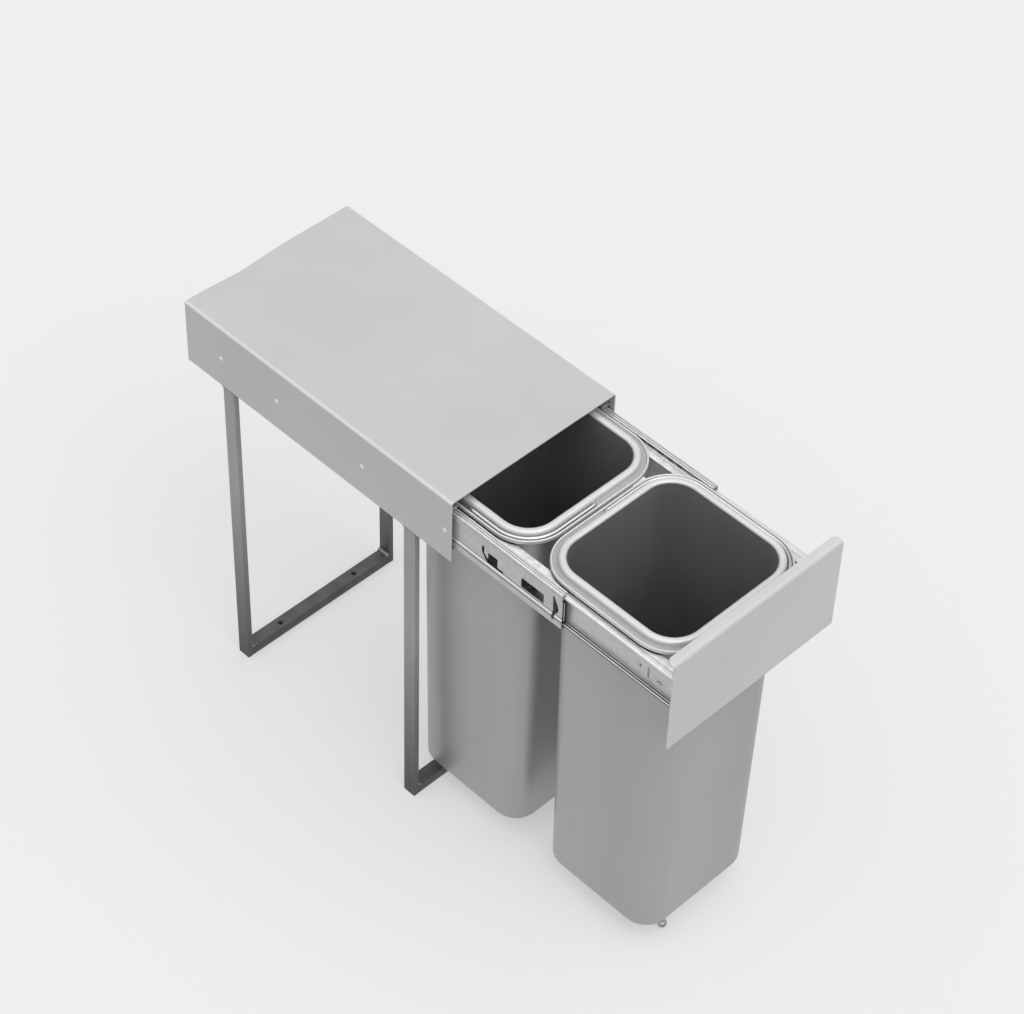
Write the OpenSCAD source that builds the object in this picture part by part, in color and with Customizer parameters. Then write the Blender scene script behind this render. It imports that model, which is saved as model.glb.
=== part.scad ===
// Pull-out waste bin for the inside of a kitchen cabinet, drawn with its drawer partly out.
// Two leg frames carry a sheet-metal hood, and ball-bearing slides inside the hood's sides
// carry a drawer with two tapered bins and a front panel.
// The front faces -Y. The origin is on the floor, centred between the four floor screws.

/* [Hood] */
// Width over the hood's two sides
hood_w = 221; // [215:1:240]
// Length of the hood, front to back
hood_l = 388; // [386:1:430]
// Height of the hood's top above the floor
hood_top = 484; // [478:1:520]
// Depth of the hood's side skirts
skirt_h = 79; // [76:1:90]
// Thickness of the hood's sheet
hood_sheet = 1.5; // [1.2:0.1:2]

/* [Leg frames] */
// Distance between the front and the rear leg frame
leg_spacing = 268; // [220:1:274]
// Width of the flat bars, front to back
bar_w = 16; // [12:1:20]
// Thickness of the upright bars
upright_t = 7; // [5:0.5:8]
// Height of the bars on the floor
floor_bar_h = 12; // [8:1:14]
// Distance between the two floor screws of one leg frame
screw_spacing = 110; // [60:1:160]
// Diameter of the floor screw holes
screw_hole_d = 5; // [4:0.1:6]
// Leg length of the weld beads
weld_leg = 3; // [2:0.5:4]

/* [Slides] */
// Distance from the hood's top down to the slides' centre line
slide_drop = 41.5; // [40:0.5:44]
// Height of the cabinet rails, the outer rails of the slides
cabinet_rail_h = 56; // [54:1:58]
// Depth of the cabinet rails, measured inwards from the hood's side
cabinet_rail_d = 12; // [11.5:0.1:12.5]
// Distance from the hood's front back to the cabinet rails
cabinet_rail_setback = 4; // [2:0.5:6]
// Length of the cabinet rails
cabinet_rail_l = 376; // [370:1:382]
// Length of the middle rails
middle_rail_l = 330; // [310:1:335]
// Length of the drawer rails, the inner rails of the slides
drawer_rail_l = 340; // [320:1:344]
// Sheet thickness of all rails
rail_t = 1.5; // [1.2:0.1:1.6]
// Diameter of the bearing balls
ball_d = 2.3; // [2.2:0.1:2.6]
// Number of balls in one row of a ball cage
balls_per_row = 10; // [4:1:10]
// Distance that the ball cages keep from their rails' ends when the drawer is fully out
cage_margin = 4; // [2:0.5:8]
// Thickness of the ball cages' strips
cage_t = 1; // [0.8:0.1:1.2]
// Length of the stops in the middle rails' front ends
stop_l = 10; // [8:0.5:11]
// Distance that the stops stand out of the middle rails
stop_out = 1.5; // [1:0.5:3]
// Length of the rear bumpers
bumper_l = 10; // [6:0.5:14]
// Diameter of the slide rivets' shanks
rivet_d = 4; // [3:0.5:5]
// Diameter of the slide rivets' round heads
rivet_head_d = 8; // [6:0.5:9]
// Height of the slide rivets' round heads
rivet_head_h = 1.6; // [1:0.1:2]
// Height of the slide rivets' formed heads inside the rails
rivet_tail_h = 0.6; // [0.4:0.1:0.7]
// Height of the flat heads of the carrier's rivets
flat_head_h = 1; // [0.6:0.1:1.2]

/* [Drawer] */
// Distance that the drawer is pulled out as drawn, from the hood's front to the panel's face
pulled_out = 290; // [286:1:300]
// Distance that the drawer still comes out from its place as drawn
pull_left = 104; // [80:1:104]
// Width of the front panel
panel_w = 228; // [210:1:250]
// Height of the front panel
panel_h = 114; // [100:1:120]
// Distance that the panel's top stands above the hood's top
panel_rise = 13; // [8:1:20]
// Depth of the flange along the panel's top
panel_flange = 11; // [8:0.5:12]
// Sheet thickness of the panel and of the carrier
carrier_t = 1.5; // [1.2:0.1:1.6]
// Width of the carrier's top flanges
carrier_flange = 8; // [6:0.5:9]
// Height of the carrier's cross bars
cross_bar_h = 36; // [30:1:38]
// Diameter of the panel's welded studs
stud_d = 5; // [4:0.5:6]
// Length of the studs
stud_l = 8; // [6:0.5:12]
// Height of the nuts on the studs
nut_h = 4; // [3:0.5:5]
// Width of the nuts across their flats
nut_w = 8; // [8:0.5:10]
// Distance between the panel's left and right studs
stud_spacing = 120; // [80:1:150]

/* [Bins] */
// Distance from the panel's back to the front bin's rim
front_gap = 14; // [12:1:16]
// Gap between a bin's rim and the cabinet rails at its sides
rim_side_gap = 1.5; // [1:0.1:3]
// Length of a bin over its rim, front to back
bin_l = 185; // [182:1:185]
// Height of the bins' floors above the room's floor
bin_floor = 28; // [22:1:60]
// Distance that each wall leans inwards from its rim to its floor
bin_taper = 4.5; // [2:0.5:10]
// Wall thickness of the bins
bin_wall = 2.2; // [1.8:0.1:2.6]
// Height of a rim, from its seat to the top of its bead
rim_h = 10.5; // [9.5:0.5:11]
// Width of the rim's raised bead
bead_w = 8; // [7.5:0.5:8.5]
// Width of the rim's groove, which holds the bail
groove_w = 5.3; // [5:0.1:5.6]
// Thickness of the rim under its groove
rim_t = 3.2; // [2.5:0.1:3.4]
// Width of the lip outside the groove
lip_w = 2.2; // [1.8:0.1:2.4]
// Height of the lip above the groove
lip_h = 3; // [2:0.5:3.5]
// Radius of the corners of a bin's opening
opening_r = 30; // [20:1:36]
// Radius of the edge round a bin's floor
floor_round = 7; // [4:0.5:10]
// Diameter of the bails' wire
wire_d = 3.6; // [3.2:0.1:4.3]
// Diameter of the ball on the front bin's foot
foot_ball_d = 10; // [8:0.5:12]
// Diameter of the foot's stem
foot_stem_d = 6; // [5:0.5:7]
// Height of the ball above the floor
foot_clearance = 1; // [0.6:0.1:2]
// Distance of the foot from the bin's centre line
foot_offset = 40; // [0:1:48]
// Diameter of the foot's screw
foot_screw_d = 3; // [2.5:0.1:3.5]
// Length of the foot's screw
foot_screw_l = 9; // [7:0.5:10]

/* [Clearances] */
// Gap between pieces that move past each other or rest loosely
gap = 0.3; // [0.2:0.05:0.4]
// Play above and below each bearing ball
ball_play = 0.1; // [0.05:0.05:0.15]
// Gap between the webs of the cabinet rail and the middle rail
web_gap = 2; // [1.9:0.1:2.2]
// Gap between the middle rail's web and the drawer rail's flanges
edge_gap = 1.4; // [1.2:0.1:1.6]
// Distance that each rail's flange edges stand back from the next rail's
flange_step = 1.1; // [0.8:0.1:1.3]
// Gap between the rear bin's rim and the front bin's rim
rim_gap = 3; // [2.5:0.5:4]
// Radial play of a fastener in its hole
hole_play = 0.1; // [0.05:0.05:0.2]
// Radial play of a bail's ends in the rim
bail_play = 0.2; // [0.1:0.05:0.3]

/* [Hidden] */
$fn = 48;

// Hood and leg frames
hood_front_y = -hood_l / 2;
hood_inner_x = hood_w / 2 - hood_sheet;
hood_ceiling = hood_top - hood_sheet;
skirt_bottom = hood_top - skirt_h;
upright_x = hood_inner_x - upright_t / 2;

// Slides, from the hood's side inwards
slide_z = hood_top - slide_drop;
race_gap = ball_d + 2 * ball_play;
middle_rail_h = cabinet_rail_h - 2 * (rail_t + race_gap);
drawer_rail_h = middle_rail_h - 2 * (rail_t + race_gap);
cabinet_web_x = hood_inner_x;
cabinet_edge_x = hood_inner_x - cabinet_rail_d;
middle_web_x = cabinet_web_x - rail_t - web_gap;
middle_edge_x = cabinet_edge_x + flange_step;
drawer_edge_x = middle_web_x - rail_t - edge_gap;
drawer_web_x = cabinet_edge_x - flange_step;
cabinet_rail_y = hood_front_y + cabinet_rail_setback;
upright_top = slide_z - cabinet_rail_h / 2 - gap;
race_x = (middle_edge_x + drawer_edge_x) / 2;
cage_web_t = 0.6;

// Places of the rivets along a slide, measured from the hood's front
rivet_places = [9, 125, 250, 334];

// Drawer, as drawn
panel_face_y = hood_front_y - pulled_out;
panel_back_y = panel_face_y + carrier_t;
panel_top = hood_top + panel_rise;
travel_in = pulled_out - carrier_t - gap;
middle_rail_y = hood_front_y + stop_out + gap - travel_in / 2;
carrier_top = slide_z + drawer_rail_h / 2;
carrier_inner_x = drawer_web_x - carrier_t;
flange_edge_x = drawer_web_x - carrier_flange;
bumper_y = panel_back_y + travel_in + drawer_rail_l + gap;
stud_rows = [carrier_top - 0.3 * cross_bar_h, carrier_top - 0.75 * cross_bar_h];

// Ball cages: each rail, and each cage between two rails, moves past the next by a quarter of the
// drawer's travel, so a cage fits what is left of its rails' overlap when the drawer is fully out
cage_shift = pull_left / 4 + cage_margin;
outer_cage_y = cabinet_rail_y + cage_shift;
outer_cage_l = middle_rail_y + middle_rail_l - cage_shift - outer_cage_y;
inner_cage_y = middle_rail_y - stop_out + stop_l + cage_shift;
inner_cage_l = panel_back_y + drawer_rail_l - cage_shift - inner_cage_y;

// Places along the carrier, measured from the panel's back: its rivets, a hole and two slots
carrier_rivet_places = [12, 152, 240, 325];
hole_place = 28;
slot_places = [41, 51];

// Bins
rim_w = bead_w + groove_w + lip_w;
bin_w = 2 * (cabinet_edge_x - rim_side_gap);
opening_w = bin_w - 2 * rim_w;
opening_l = bin_l - 2 * rim_w;
rim_bottom = carrier_top + gap;
groove_floor = rim_bottom + rim_t;
front_bin_y = panel_back_y + front_gap + bin_l / 2;
rear_bin_y = front_bin_y + bin_l + rim_gap;
carrier_end_y = rear_bin_y + bin_l / 2 + 1;
bail_z = groove_floor + gap + wire_d / 2;
bail_inset = lip_w + groove_w / 2;
pin_depth = bead_w - 2.5;
rim_seat = 6;
foot_flange_d = foot_stem_d + 2;
foot_y = front_bin_y - opening_l / 2 - bin_wall + bin_taper + floor_round + foot_flange_d / 2;
corner_steps = 6;

// A plate or block between two corners
module block(low, high) {
    translate(low) cube(high - low);
}

// An upright outline of a rectangle with round corners, centred
module rounded(w, l, r) {
    square([w - 2 * r, l], center = true);
    square([w, l - 2 * r], center = true);
    for (sx = [-1, 1], sy = [-1, 1])
        translate([sx * (w / 2 - r), sy * (l / 2 - r)]) circle(r);
}

// Puts a left-hand shape on the left or, mirrored, on the right
module on_side(side) {
    if (side < 0) children();
    else mirror([1, 0, 0]) children();
}

// A channel rail on the left side, from y0 along its length, open towards the bins or away
module rail(web_x, edge_x, h, t, y0, l) {
    web_end = web_x + (edge_x < web_x ? -t : t);
    difference() {
        block([-max(web_x, edge_x), y0, slide_z - h / 2], [-min(web_x, edge_x), y0 + l, slide_z + h / 2]);
        block(
            [edge_x < web_x ? -web_end : -edge_x - 1, y0 - 1, slide_z - h / 2 + t],
            [edge_x < web_x ? -edge_x + 1 : -web_end, y0 + l + 1, slide_z + h / 2 - t]
        );
    }
}

// A hole through a left-hand web, running along X
module web_hole(y, z, d) {
    translate([-hood_w / 2 - 1, y, z]) rotate([0, 90, 0]) cylinder(h = 25, d = d);
}

// Hood: a sheet bent into a top and two side skirts, open at the front, the rear and below
module hood() color([0.76, 0.77, 0.78]) difference() {
    block([-hood_w / 2, hood_front_y, skirt_bottom], [hood_w / 2, -hood_front_y, hood_top]);
    block(
        [-hood_inner_x, hood_front_y - 1, skirt_bottom - 1],
        [hood_inner_x, 1 - hood_front_y, hood_ceiling]
    );
    for (p = rivet_places, side = [-1, 1])
        on_side(side) web_hole(hood_front_y + p, slide_z, rivet_d + 2 * hole_play);
}

// Slide rivets: a round head outside the skirt, a shank and a flat formed head inside the rail
module hood_rivets(side) color([0.8, 0.8, 0.8]) on_side(side)
    for (p = rivet_places) translate([-hood_w / 2, hood_front_y + p, slide_z]) rotate([0, 90, 0]) {
        rivet_length = hood_sheet + rail_t;
        cylinder(h = rivet_length, d = rivet_d);
        translate([0, 0, -rivet_head_h]) dome(rivet_head_d / 2, rivet_head_h);
        translate([0, 0, rivet_length]) cylinder(h = rivet_tail_h, d = rivet_head_d - 2);
    }

// A shallow dome with its flat side up at the given height
module dome(r, h) {
    sphere_r = (r * r + h * h) / (2 * h);
    rotate_extrude() intersection() {
        translate([0, sphere_r]) circle(sphere_r, $fn = 96);
        square([r, h]);
    }
}

// Upright bar of a leg frame, inside the hood's skirt and under the slide
module upright(side, end) color([0.42, 0.43, 0.44])
    translate([side * upright_x, end * leg_spacing / 2, upright_top / 2])
        cube([upright_t, bar_w, upright_top], center = true);

// Flat bar on the floor between two uprights, with its two screw holes
module floor_bar(end) color([0.42, 0.43, 0.44]) difference() {
    bar_l = 2 * (upright_x - upright_t / 2);
    translate([0, end * leg_spacing / 2, floor_bar_h / 2]) cube([bar_l, bar_w, floor_bar_h], center = true);
    for (sx = [-1, 1])
        translate([sx * screw_spacing / 2, end * leg_spacing / 2, -1])
            cylinder(h = floor_bar_h + 2, d = screw_hole_d);
}

// Weld beads in the leg frames' lower corners and under the hood's skirts
module leg_welds() color([0.6, 0.6, 0.6])
    for (side = [-1, 1], end = [-1, 1])
        on_side(side) translate([0, end * leg_spacing / 2 + bar_w / 2, 0]) {
            inner_x = upright_x - upright_t / 2;
            bead_on(-inner_x, floor_bar_h, 1, weld_leg, weld_leg);
            bead_on(-hood_inner_x, skirt_bottom, -1, hood_sheet, -weld_leg);
        }

// One three-sided bead across a bar, from a corner at (x, z) along X by w and along Z by h
module bead_on(x, z, dir, w, h)
    rotate([90, 0, 0]) linear_extrude(bar_w) polygon([[x, z], [x + dir * w, z], [x, z + h]]);

// Cabinet rail: the slide's outer channel, riveted inside the hood's skirt
module cabinet_rail(side) color([0.72, 0.73, 0.74]) on_side(side) difference() {
    rail(cabinet_web_x, cabinet_edge_x, cabinet_rail_h, rail_t, cabinet_rail_y, cabinet_rail_l);
    for (p = rivet_places) web_hole(hood_front_y + p, slide_z, rivet_d + 2 * hole_play);
}

// Rubber bumper at the back of a cabinet rail, where the closed drawer stops
module rear_bumper(side) color([0.15, 0.15, 0.15]) on_side(side) block(
    [-cabinet_web_x + rail_t, bumper_y, slide_z - drawer_rail_h / 2],
    [-drawer_web_x - rail_t, bumper_y + bumper_l, slide_z + drawer_rail_h / 2]
);

// Plastic stop in the front end of a middle rail, inside the drawer rail's channel
module rail_stop(side) color([0.12, 0.12, 0.12]) on_side(side) {
    stop_h = drawer_rail_h - 2 * rail_t - 6;
    stop_w = middle_web_x - drawer_web_x - 2 * rail_t - flat_head_h - gap;
    translate([-middle_web_x + rail_t, middle_rail_y - stop_out, slide_z - stop_h / 2]) {
        translate([0, stop_w, 0]) cube([stop_w, stop_l - stop_w, stop_h]);
        translate([0, stop_w, 0]) intersection() {
            cylinder(h = stop_h, r = stop_w);
            translate([0, -stop_w, 0]) cube([stop_w, stop_w, stop_h]);
        }
    }
}

// Middle rail: the channel that carries the drawer rail, with its stamped openings
module middle_rail(side) color([0.8, 0.81, 0.82]) on_side(side) difference() {
    rail(middle_web_x, middle_edge_x, middle_rail_h, rail_t, middle_rail_y, middle_rail_l);
    // From the front: a slot through a round hole, a window, a square hole and an angled slot
    hook_y = middle_rail_y + 11;
    window_y = middle_rail_y + 24;
    square_y = middle_rail_y + 0.26 * middle_rail_l;
    web_hole(hook_y, slide_z - 1, 6);
    web_cut(hook_y - 1.25, slide_z - 17, 2.5, 30);
    web_cut(window_y, slide_z - 7, 30, 13);
    web_cut(square_y, slide_z - 5, 12, 10);
    web_cut(square_y - 7, slide_z - 8.5, 27, 2.5);
    web_cut(square_y + 17.5, slide_z - 7, 2.5, 15);
}

// A rectangular cut through a left-hand web, from (y, z) by l along the rail and h upwards
module web_cut(y, z, l, h)
    block([-hood_w / 2, y, z], [-flange_edge_x, y + l, z + h]);

// Ball cage: a thin channel round the rail inside it, with a row of ball pockets above and below
module cage(side, rail_h, rail_x, y0, l) color([0.35, 0.35, 0.36]) on_side(side) {
    web_x = rail_x + gap + cage_web_t;
    half_h = (rail_h + race_gap + cage_t) / 2;
    block([-web_x, y0, slide_z - half_h], [-web_x + cage_web_t, y0 + l, slide_z + half_h]);
    for (up = [-1, 1]) difference() {
        translate([-web_x, y0, slide_z + up * (half_h - cage_t / 2) - cage_t / 2])
            cube([web_x - middle_edge_x - gap, l, cage_t]);
        for (i = [0 : balls_per_row - 1])
            translate([-race_x, ball_y(y0, l, i), slide_z + up * half_h - up * cage_t / 2 - cage_t])
                cylinder(h = 2 * cage_t, d = ball_d + gap);
    }
}

// Bearing balls of one cage
module balls(side, rail_h, y0, l) color([0.85, 0.85, 0.86]) on_side(side)
    for (up = [-1, 1], i = [0 : balls_per_row - 1])
        translate([-race_x, ball_y(y0, l, i), slide_z + up * (rail_h + race_gap) / 2]) sphere(d = ball_d);

function ball_y(y0, l, i) = y0 + l * (i + 0.5) / balls_per_row;

// Drawer rail: the inner channel, open towards the middle rail
module drawer_rail(side) color([0.78, 0.79, 0.8]) on_side(side) difference() {
    rail(drawer_web_x, drawer_edge_x, drawer_rail_h, rail_t, panel_back_y, drawer_rail_l);
    carrier_holes();
}

// Holes shared by a drawer rail and the carrier's side: the rivets', a round one and two slots
module carrier_holes() {
    for (p = carrier_rivet_places) web_hole(panel_back_y + p, slide_z, rivet_d + 2 * hole_play);
    web_hole(panel_back_y + hole_place, slide_z - 4, 5);
    web_cut(panel_back_y + slot_places[0], slide_z - 9, 2.5, 14);
    web_cut(panel_back_y + slot_places[1], slide_z - 3, 2.5, 5);
}

// Side of the carrier: an angle whose top flange carries the bins' rims
module carrier_side(side) color([0.82, 0.83, 0.84]) on_side(side) difference() {
    union() {
        block(
            [-drawer_web_x, panel_back_y, slide_z - drawer_rail_h / 2],
            [-carrier_inner_x, carrier_end_y, carrier_top]
        );
        block(
            [-carrier_inner_x, panel_back_y, carrier_top - carrier_t],
            [-flange_edge_x, carrier_end_y, carrier_top]
        );
    }
    carrier_holes();
}

// Rivets that hold a drawer rail to the carrier's side
module carrier_rivets(side) color([0.8, 0.8, 0.8]) on_side(side)
    for (p = carrier_rivet_places)
        translate([-drawer_web_x - rail_t, panel_back_y + p, slide_z]) rotate([0, 90, 0]) {
            stack = rail_t + carrier_t;
            cylinder(h = stack, d = rivet_d);
            translate([0, 0, -flat_head_h]) cylinder(h = flat_head_h, d = rivet_head_d - 1);
            translate([0, 0, stack]) cylinder(h = flat_head_h, d = rivet_head_d - 2);
        }

// Cross bar: an angle between the carrier's sides, with its plate and its flange's far edge as given
module cross_bar(plate_y, flange_y) {
    block(
        [-carrier_inner_x, plate_y, carrier_top - cross_bar_h],
        [carrier_inner_x, plate_y + carrier_t, carrier_top - carrier_t]
    );
    block(
        [-flange_edge_x, min(plate_y, flange_y), carrier_top - carrier_t],
        [flange_edge_x, max(plate_y + carrier_t, flange_y), carrier_top]
    );
}

// Front cross bar, with the holes for the panel's studs
module cross_bar_front() color([0.8, 0.81, 0.82]) difference() {
    cross_bar(panel_back_y, panel_back_y + front_gap + rim_seat);
    at_studs(-1) cylinder(h = carrier_t + 2, d = stud_d + 2 * hole_play);
}

// Rear cross bar, behind the rear bin
module cross_bar_rear() color([0.8, 0.81, 0.82])
    cross_bar(carrier_end_y - carrier_t, rear_bin_y + bin_l / 2 - rim_seat);

// Puts a shape on each stud's axis, at a distance behind the panel's back
module at_studs(back)
    for (x = [-1, 1], z = stud_rows)
        translate([x * stud_spacing / 2, panel_back_y + back, z]) rotate([-90, 0, 0]) children();

// Front panel: a sheet with a narrow flange bent back along its top
module front_panel() color([0.8, 0.81, 0.82]) {
    bend_r = 4;
    corner_r = panel_flange - bend_r;
    intersection() {
        translate([panel_w / 2, panel_face_y, 0]) rotate([90, 0, -90]) linear_extrude(panel_w) {
            translate([-carrier_t, panel_top - panel_h]) square([carrier_t, panel_h - bend_r]);
            translate([-panel_flange, panel_top - carrier_t]) square([panel_flange - bend_r, carrier_t]);
            translate([-bend_r, panel_top - bend_r]) difference() {
                intersection() {
                    circle(bend_r);
                    square(bend_r);
                }
                circle(bend_r - carrier_t);
            }
        }
        translate([0, panel_face_y, panel_top - panel_h]) linear_extrude(panel_h) {
            translate([-panel_w / 2, 0]) square([panel_w, panel_flange - corner_r]);
            translate([-panel_w / 2 + corner_r, 0]) square([panel_w - 2 * corner_r, panel_flange]);
            for (side = [-1, 1])
                translate([side * (panel_w / 2 - corner_r), panel_flange - corner_r]) circle(corner_r);
        }
    }
}

// Studs welded to the panel's back
module panel_studs() color([0.7, 0.7, 0.71]) at_studs(0) cylinder(h = stud_l, d = stud_d);

// Nuts that clamp the front cross bar to the panel
module panel_nuts() color([0.7, 0.7, 0.71]) at_studs(carrier_t) difference() {
    cylinder(h = nut_h, d = nut_w / cos(30), $fn = 6);
    translate([0, 0, -1]) cylinder(h = nut_h + 2, d = stud_d + 2 * hole_play);
}

// The points of one level of a tub: a rectangle with round corners, at height z
function level(w, l, r, z) = [
    for (corner = [0 : 3], i = [0 : corner_steps])
        let (
            a = 90 * (corner + i / corner_steps),
            corner_x = (corner == 0 || corner == 3 ? 1 : -1) * (w / 2 - r),
            corner_y = (corner < 2 ? 1 : -1) * (l / 2 - r)
        )
        [corner_x + r * cos(a), corner_y + r * sin(a), z]
];

// A closed tub-shaped solid through a list of levels, from the lowest up
module tub_solid(levels) {
    n = len(levels[0]);
    top = n * (len(levels) - 1);
    polyhedron(
        points = [for (ring = levels) each ring],
        faces = [
            [for (i = [0 : n - 1]) i],
            [for (i = [n - 1 : -1 : 0]) top + i],
            for (k = [0 : len(levels) - 2], i = [0 : n - 1])
                let (a = n * k + i, b = n * k + (i + 1) % n) each [[a, a + n, b], [b, a + n, b + n]]
        ]
    );
}

// The space inside one wall surface of a bin, which lies outside the opening's walls by a distance
module tub(grow, floor_z, round_r, top_z) {
    w = opening_w + 2 * grow;
    l = opening_l + 2 * grow;
    r = opening_r + grow;
    tub_solid([
        for (a = [0, 30, 60, 90])
            let (inset = bin_taper + round_r * (1 - sin(a)))
                level(w - 2 * inset, l - 2 * inset, r - inset, floor_z + round_r * (1 - cos(a))),
        level(w, l, r, rim_bottom),
        level(w, l, r, top_z)
    ]);
}

// Bin: a tapered tub whose rim has a raised bead, a groove for the bail and a lip
module bin(y) color([0.6, 0.61, 0.62]) translate([0, y, 0]) {
    outer_r = opening_r + rim_w;
    difference() {
        union() {
            translate([0, 0, rim_bottom]) {
                linear_extrude(rim_t) rounded(bin_w, bin_l, outer_r);
                linear_extrude(rim_h)
                    rounded(opening_w + 2 * bead_w, opening_l + 2 * bead_w, opening_r + bead_w);
                linear_extrude(rim_t + lip_h) difference() {
                    rounded(bin_w, bin_l, outer_r);
                    rounded(bin_w - 2 * lip_w, bin_l - 2 * lip_w, outer_r - lip_w);
                }
            }
            tub(bin_wall, bin_floor, floor_round, rim_bottom + 1);
        }
        tub(0, bin_floor + bin_wall, floor_round - bin_wall / 2, rim_bottom + rim_h + 1);
        for (end = [-1, 1])
            translate([0, end * (opening_l / 2 + bead_w + 1), bail_z]) rotate([end * 90, 0, 0])
                cylinder(h = 1 + pin_depth + gap, d = wire_d + 2 * bail_play);
    }
}

// The front bin, with a screw hole in its floor for the foot
module front_bin() color([0.6, 0.61, 0.62]) difference() {
    bin(front_bin_y);
    translate([-foot_offset, foot_y, bin_floor - 1])
        cylinder(h = bin_wall + 2, d = foot_screw_d + 2 * hole_play);
}

// Foot under the front bin: a stem with a ball end that stops the drawer from tipping
module front_bin_foot() color([0.6, 0.6, 0.6]) translate([-foot_offset, foot_y, 0]) difference() {
    ball_z = foot_clearance + foot_ball_d / 2;
    union() {
        translate([0, 0, ball_z]) sphere(d = foot_ball_d);
        translate([0, 0, ball_z]) cylinder(h = bin_floor - ball_z, d = foot_stem_d);
        translate([0, 0, bin_floor - 2]) cylinder(h = 2, d = foot_flange_d);
    }
    translate([0, 0, bin_floor + bin_wall - foot_screw_l - 1])
        cylinder(h = foot_screw_l, d = foot_screw_d + 2 * hole_play);
}

// Screw that holds the foot, driven from inside the bin
module foot_screw() color([0.7, 0.7, 0.71]) translate([-foot_offset, foot_y, bin_floor + bin_wall]) {
    translate([0, 0, -foot_screw_l]) cylinder(h = foot_screw_l, d = foot_screw_d);
    cylinder(h = foot_screw_d * 0.7, d = foot_screw_d * 2);
}

// Bail on the left half of a bin: wire in the groove, its ends turned inwards into the bead
module bail(y) color([0.85, 0.85, 0.86]) {
    x = bin_w / 2 - bail_inset;
    l = bin_l / 2 - bail_inset;
    r = opening_r + rim_w - bail_inset;
    elbow_r = wire_d / 2 + 1;
    pin_l = l - elbow_r - (opening_l / 2 + bead_w - pin_depth);
    translate([0, y, bail_z]) {
        translate([-x, l - r, 0]) rotate([90, 0, 0]) cylinder(h = 2 * (l - r), d = wire_d);
        for (end = [-1, 1]) mirror([0, end < 0 ? 1 : 0, 0]) {
            translate([-x + r, l - r, 0]) wire_bend(r, 90);
            translate([-x + r, l, 0]) rotate([0, 90, 0]) cylinder(h = x - r - elbow_r, d = wire_d);
            translate([-elbow_r, l - elbow_r, 0]) wire_bend(elbow_r, 0);
            translate([0, l - elbow_r, 0]) rotate([90, 0, 0]) cylinder(h = pin_l, d = wire_d);
        }
    }
}

// A quarter bend of wire about the origin, starting at the given angle
module wire_bend(r, from) rotate([0, 0, from])
    rotate_extrude(angle = 90) translate([r, 0]) circle(d = wire_d);

hood();
hood_rivets(-1);  // hood_rivets_left
hood_rivets(1);  // hood_rivets_right
upright(-1, -1);  // upright_front_left
upright(1, -1);  // upright_front_right
upright(-1, 1);  // upright_rear_left
upright(1, 1);  // upright_rear_right
floor_bar(-1);  // floor_bar_front
floor_bar(1);  // floor_bar_rear
leg_welds();
cabinet_rail(-1);  // cabinet_rail_left
cabinet_rail(1);  // cabinet_rail_right
rear_bumper(-1);  // rear_bumper_left
rear_bumper(1);  // rear_bumper_right
middle_rail(-1);  // middle_rail_left
middle_rail(1);  // middle_rail_right
rail_stop(-1);  // rail_stop_left
rail_stop(1);  // rail_stop_right
cage(-1, middle_rail_h, middle_web_x, outer_cage_y, outer_cage_l);  // outer_cage_left
cage(1, middle_rail_h, middle_web_x, outer_cage_y, outer_cage_l);  // outer_cage_right
balls(-1, middle_rail_h, outer_cage_y, outer_cage_l);  // outer_balls_left
balls(1, middle_rail_h, outer_cage_y, outer_cage_l);  // outer_balls_right
cage(-1, drawer_rail_h, drawer_edge_x, inner_cage_y, inner_cage_l);  // inner_cage_left
cage(1, drawer_rail_h, drawer_edge_x, inner_cage_y, inner_cage_l);  // inner_cage_right
balls(-1, drawer_rail_h, inner_cage_y, inner_cage_l);  // inner_balls_left
balls(1, drawer_rail_h, inner_cage_y, inner_cage_l);  // inner_balls_right
drawer_rail(-1);  // drawer_rail_left
drawer_rail(1);  // drawer_rail_right
carrier_side(-1);  // carrier_side_left
carrier_side(1);  // carrier_side_right
carrier_rivets(-1);  // carrier_rivets_left
carrier_rivets(1);  // carrier_rivets_right
cross_bar_front();
cross_bar_rear();
front_panel();
panel_studs();
panel_nuts();
front_bin();
mirror([1, 0, 0]) bail(front_bin_y);  // front_bail
front_bin_foot();
foot_screw();
bin(rear_bin_y);  // rear_bin
bail(rear_bin_y);  // rear_bail
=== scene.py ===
# %% [markdown]
# A pull-out waste bin for the inside of a kitchen cabinet. Two leg frames carry a sheet-metal
# hood, ball-bearing slides hang inside the hood's sides, and a drawer with two tapered bins runs
# on the slides behind a front panel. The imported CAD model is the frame: it says where each piece
# is, and this script dresses it. Sizes are in millimetres and become metres when a mesh is made.

import math

import bmesh
import bpy
import numpy as np
from mathutils import Matrix, Vector


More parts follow.
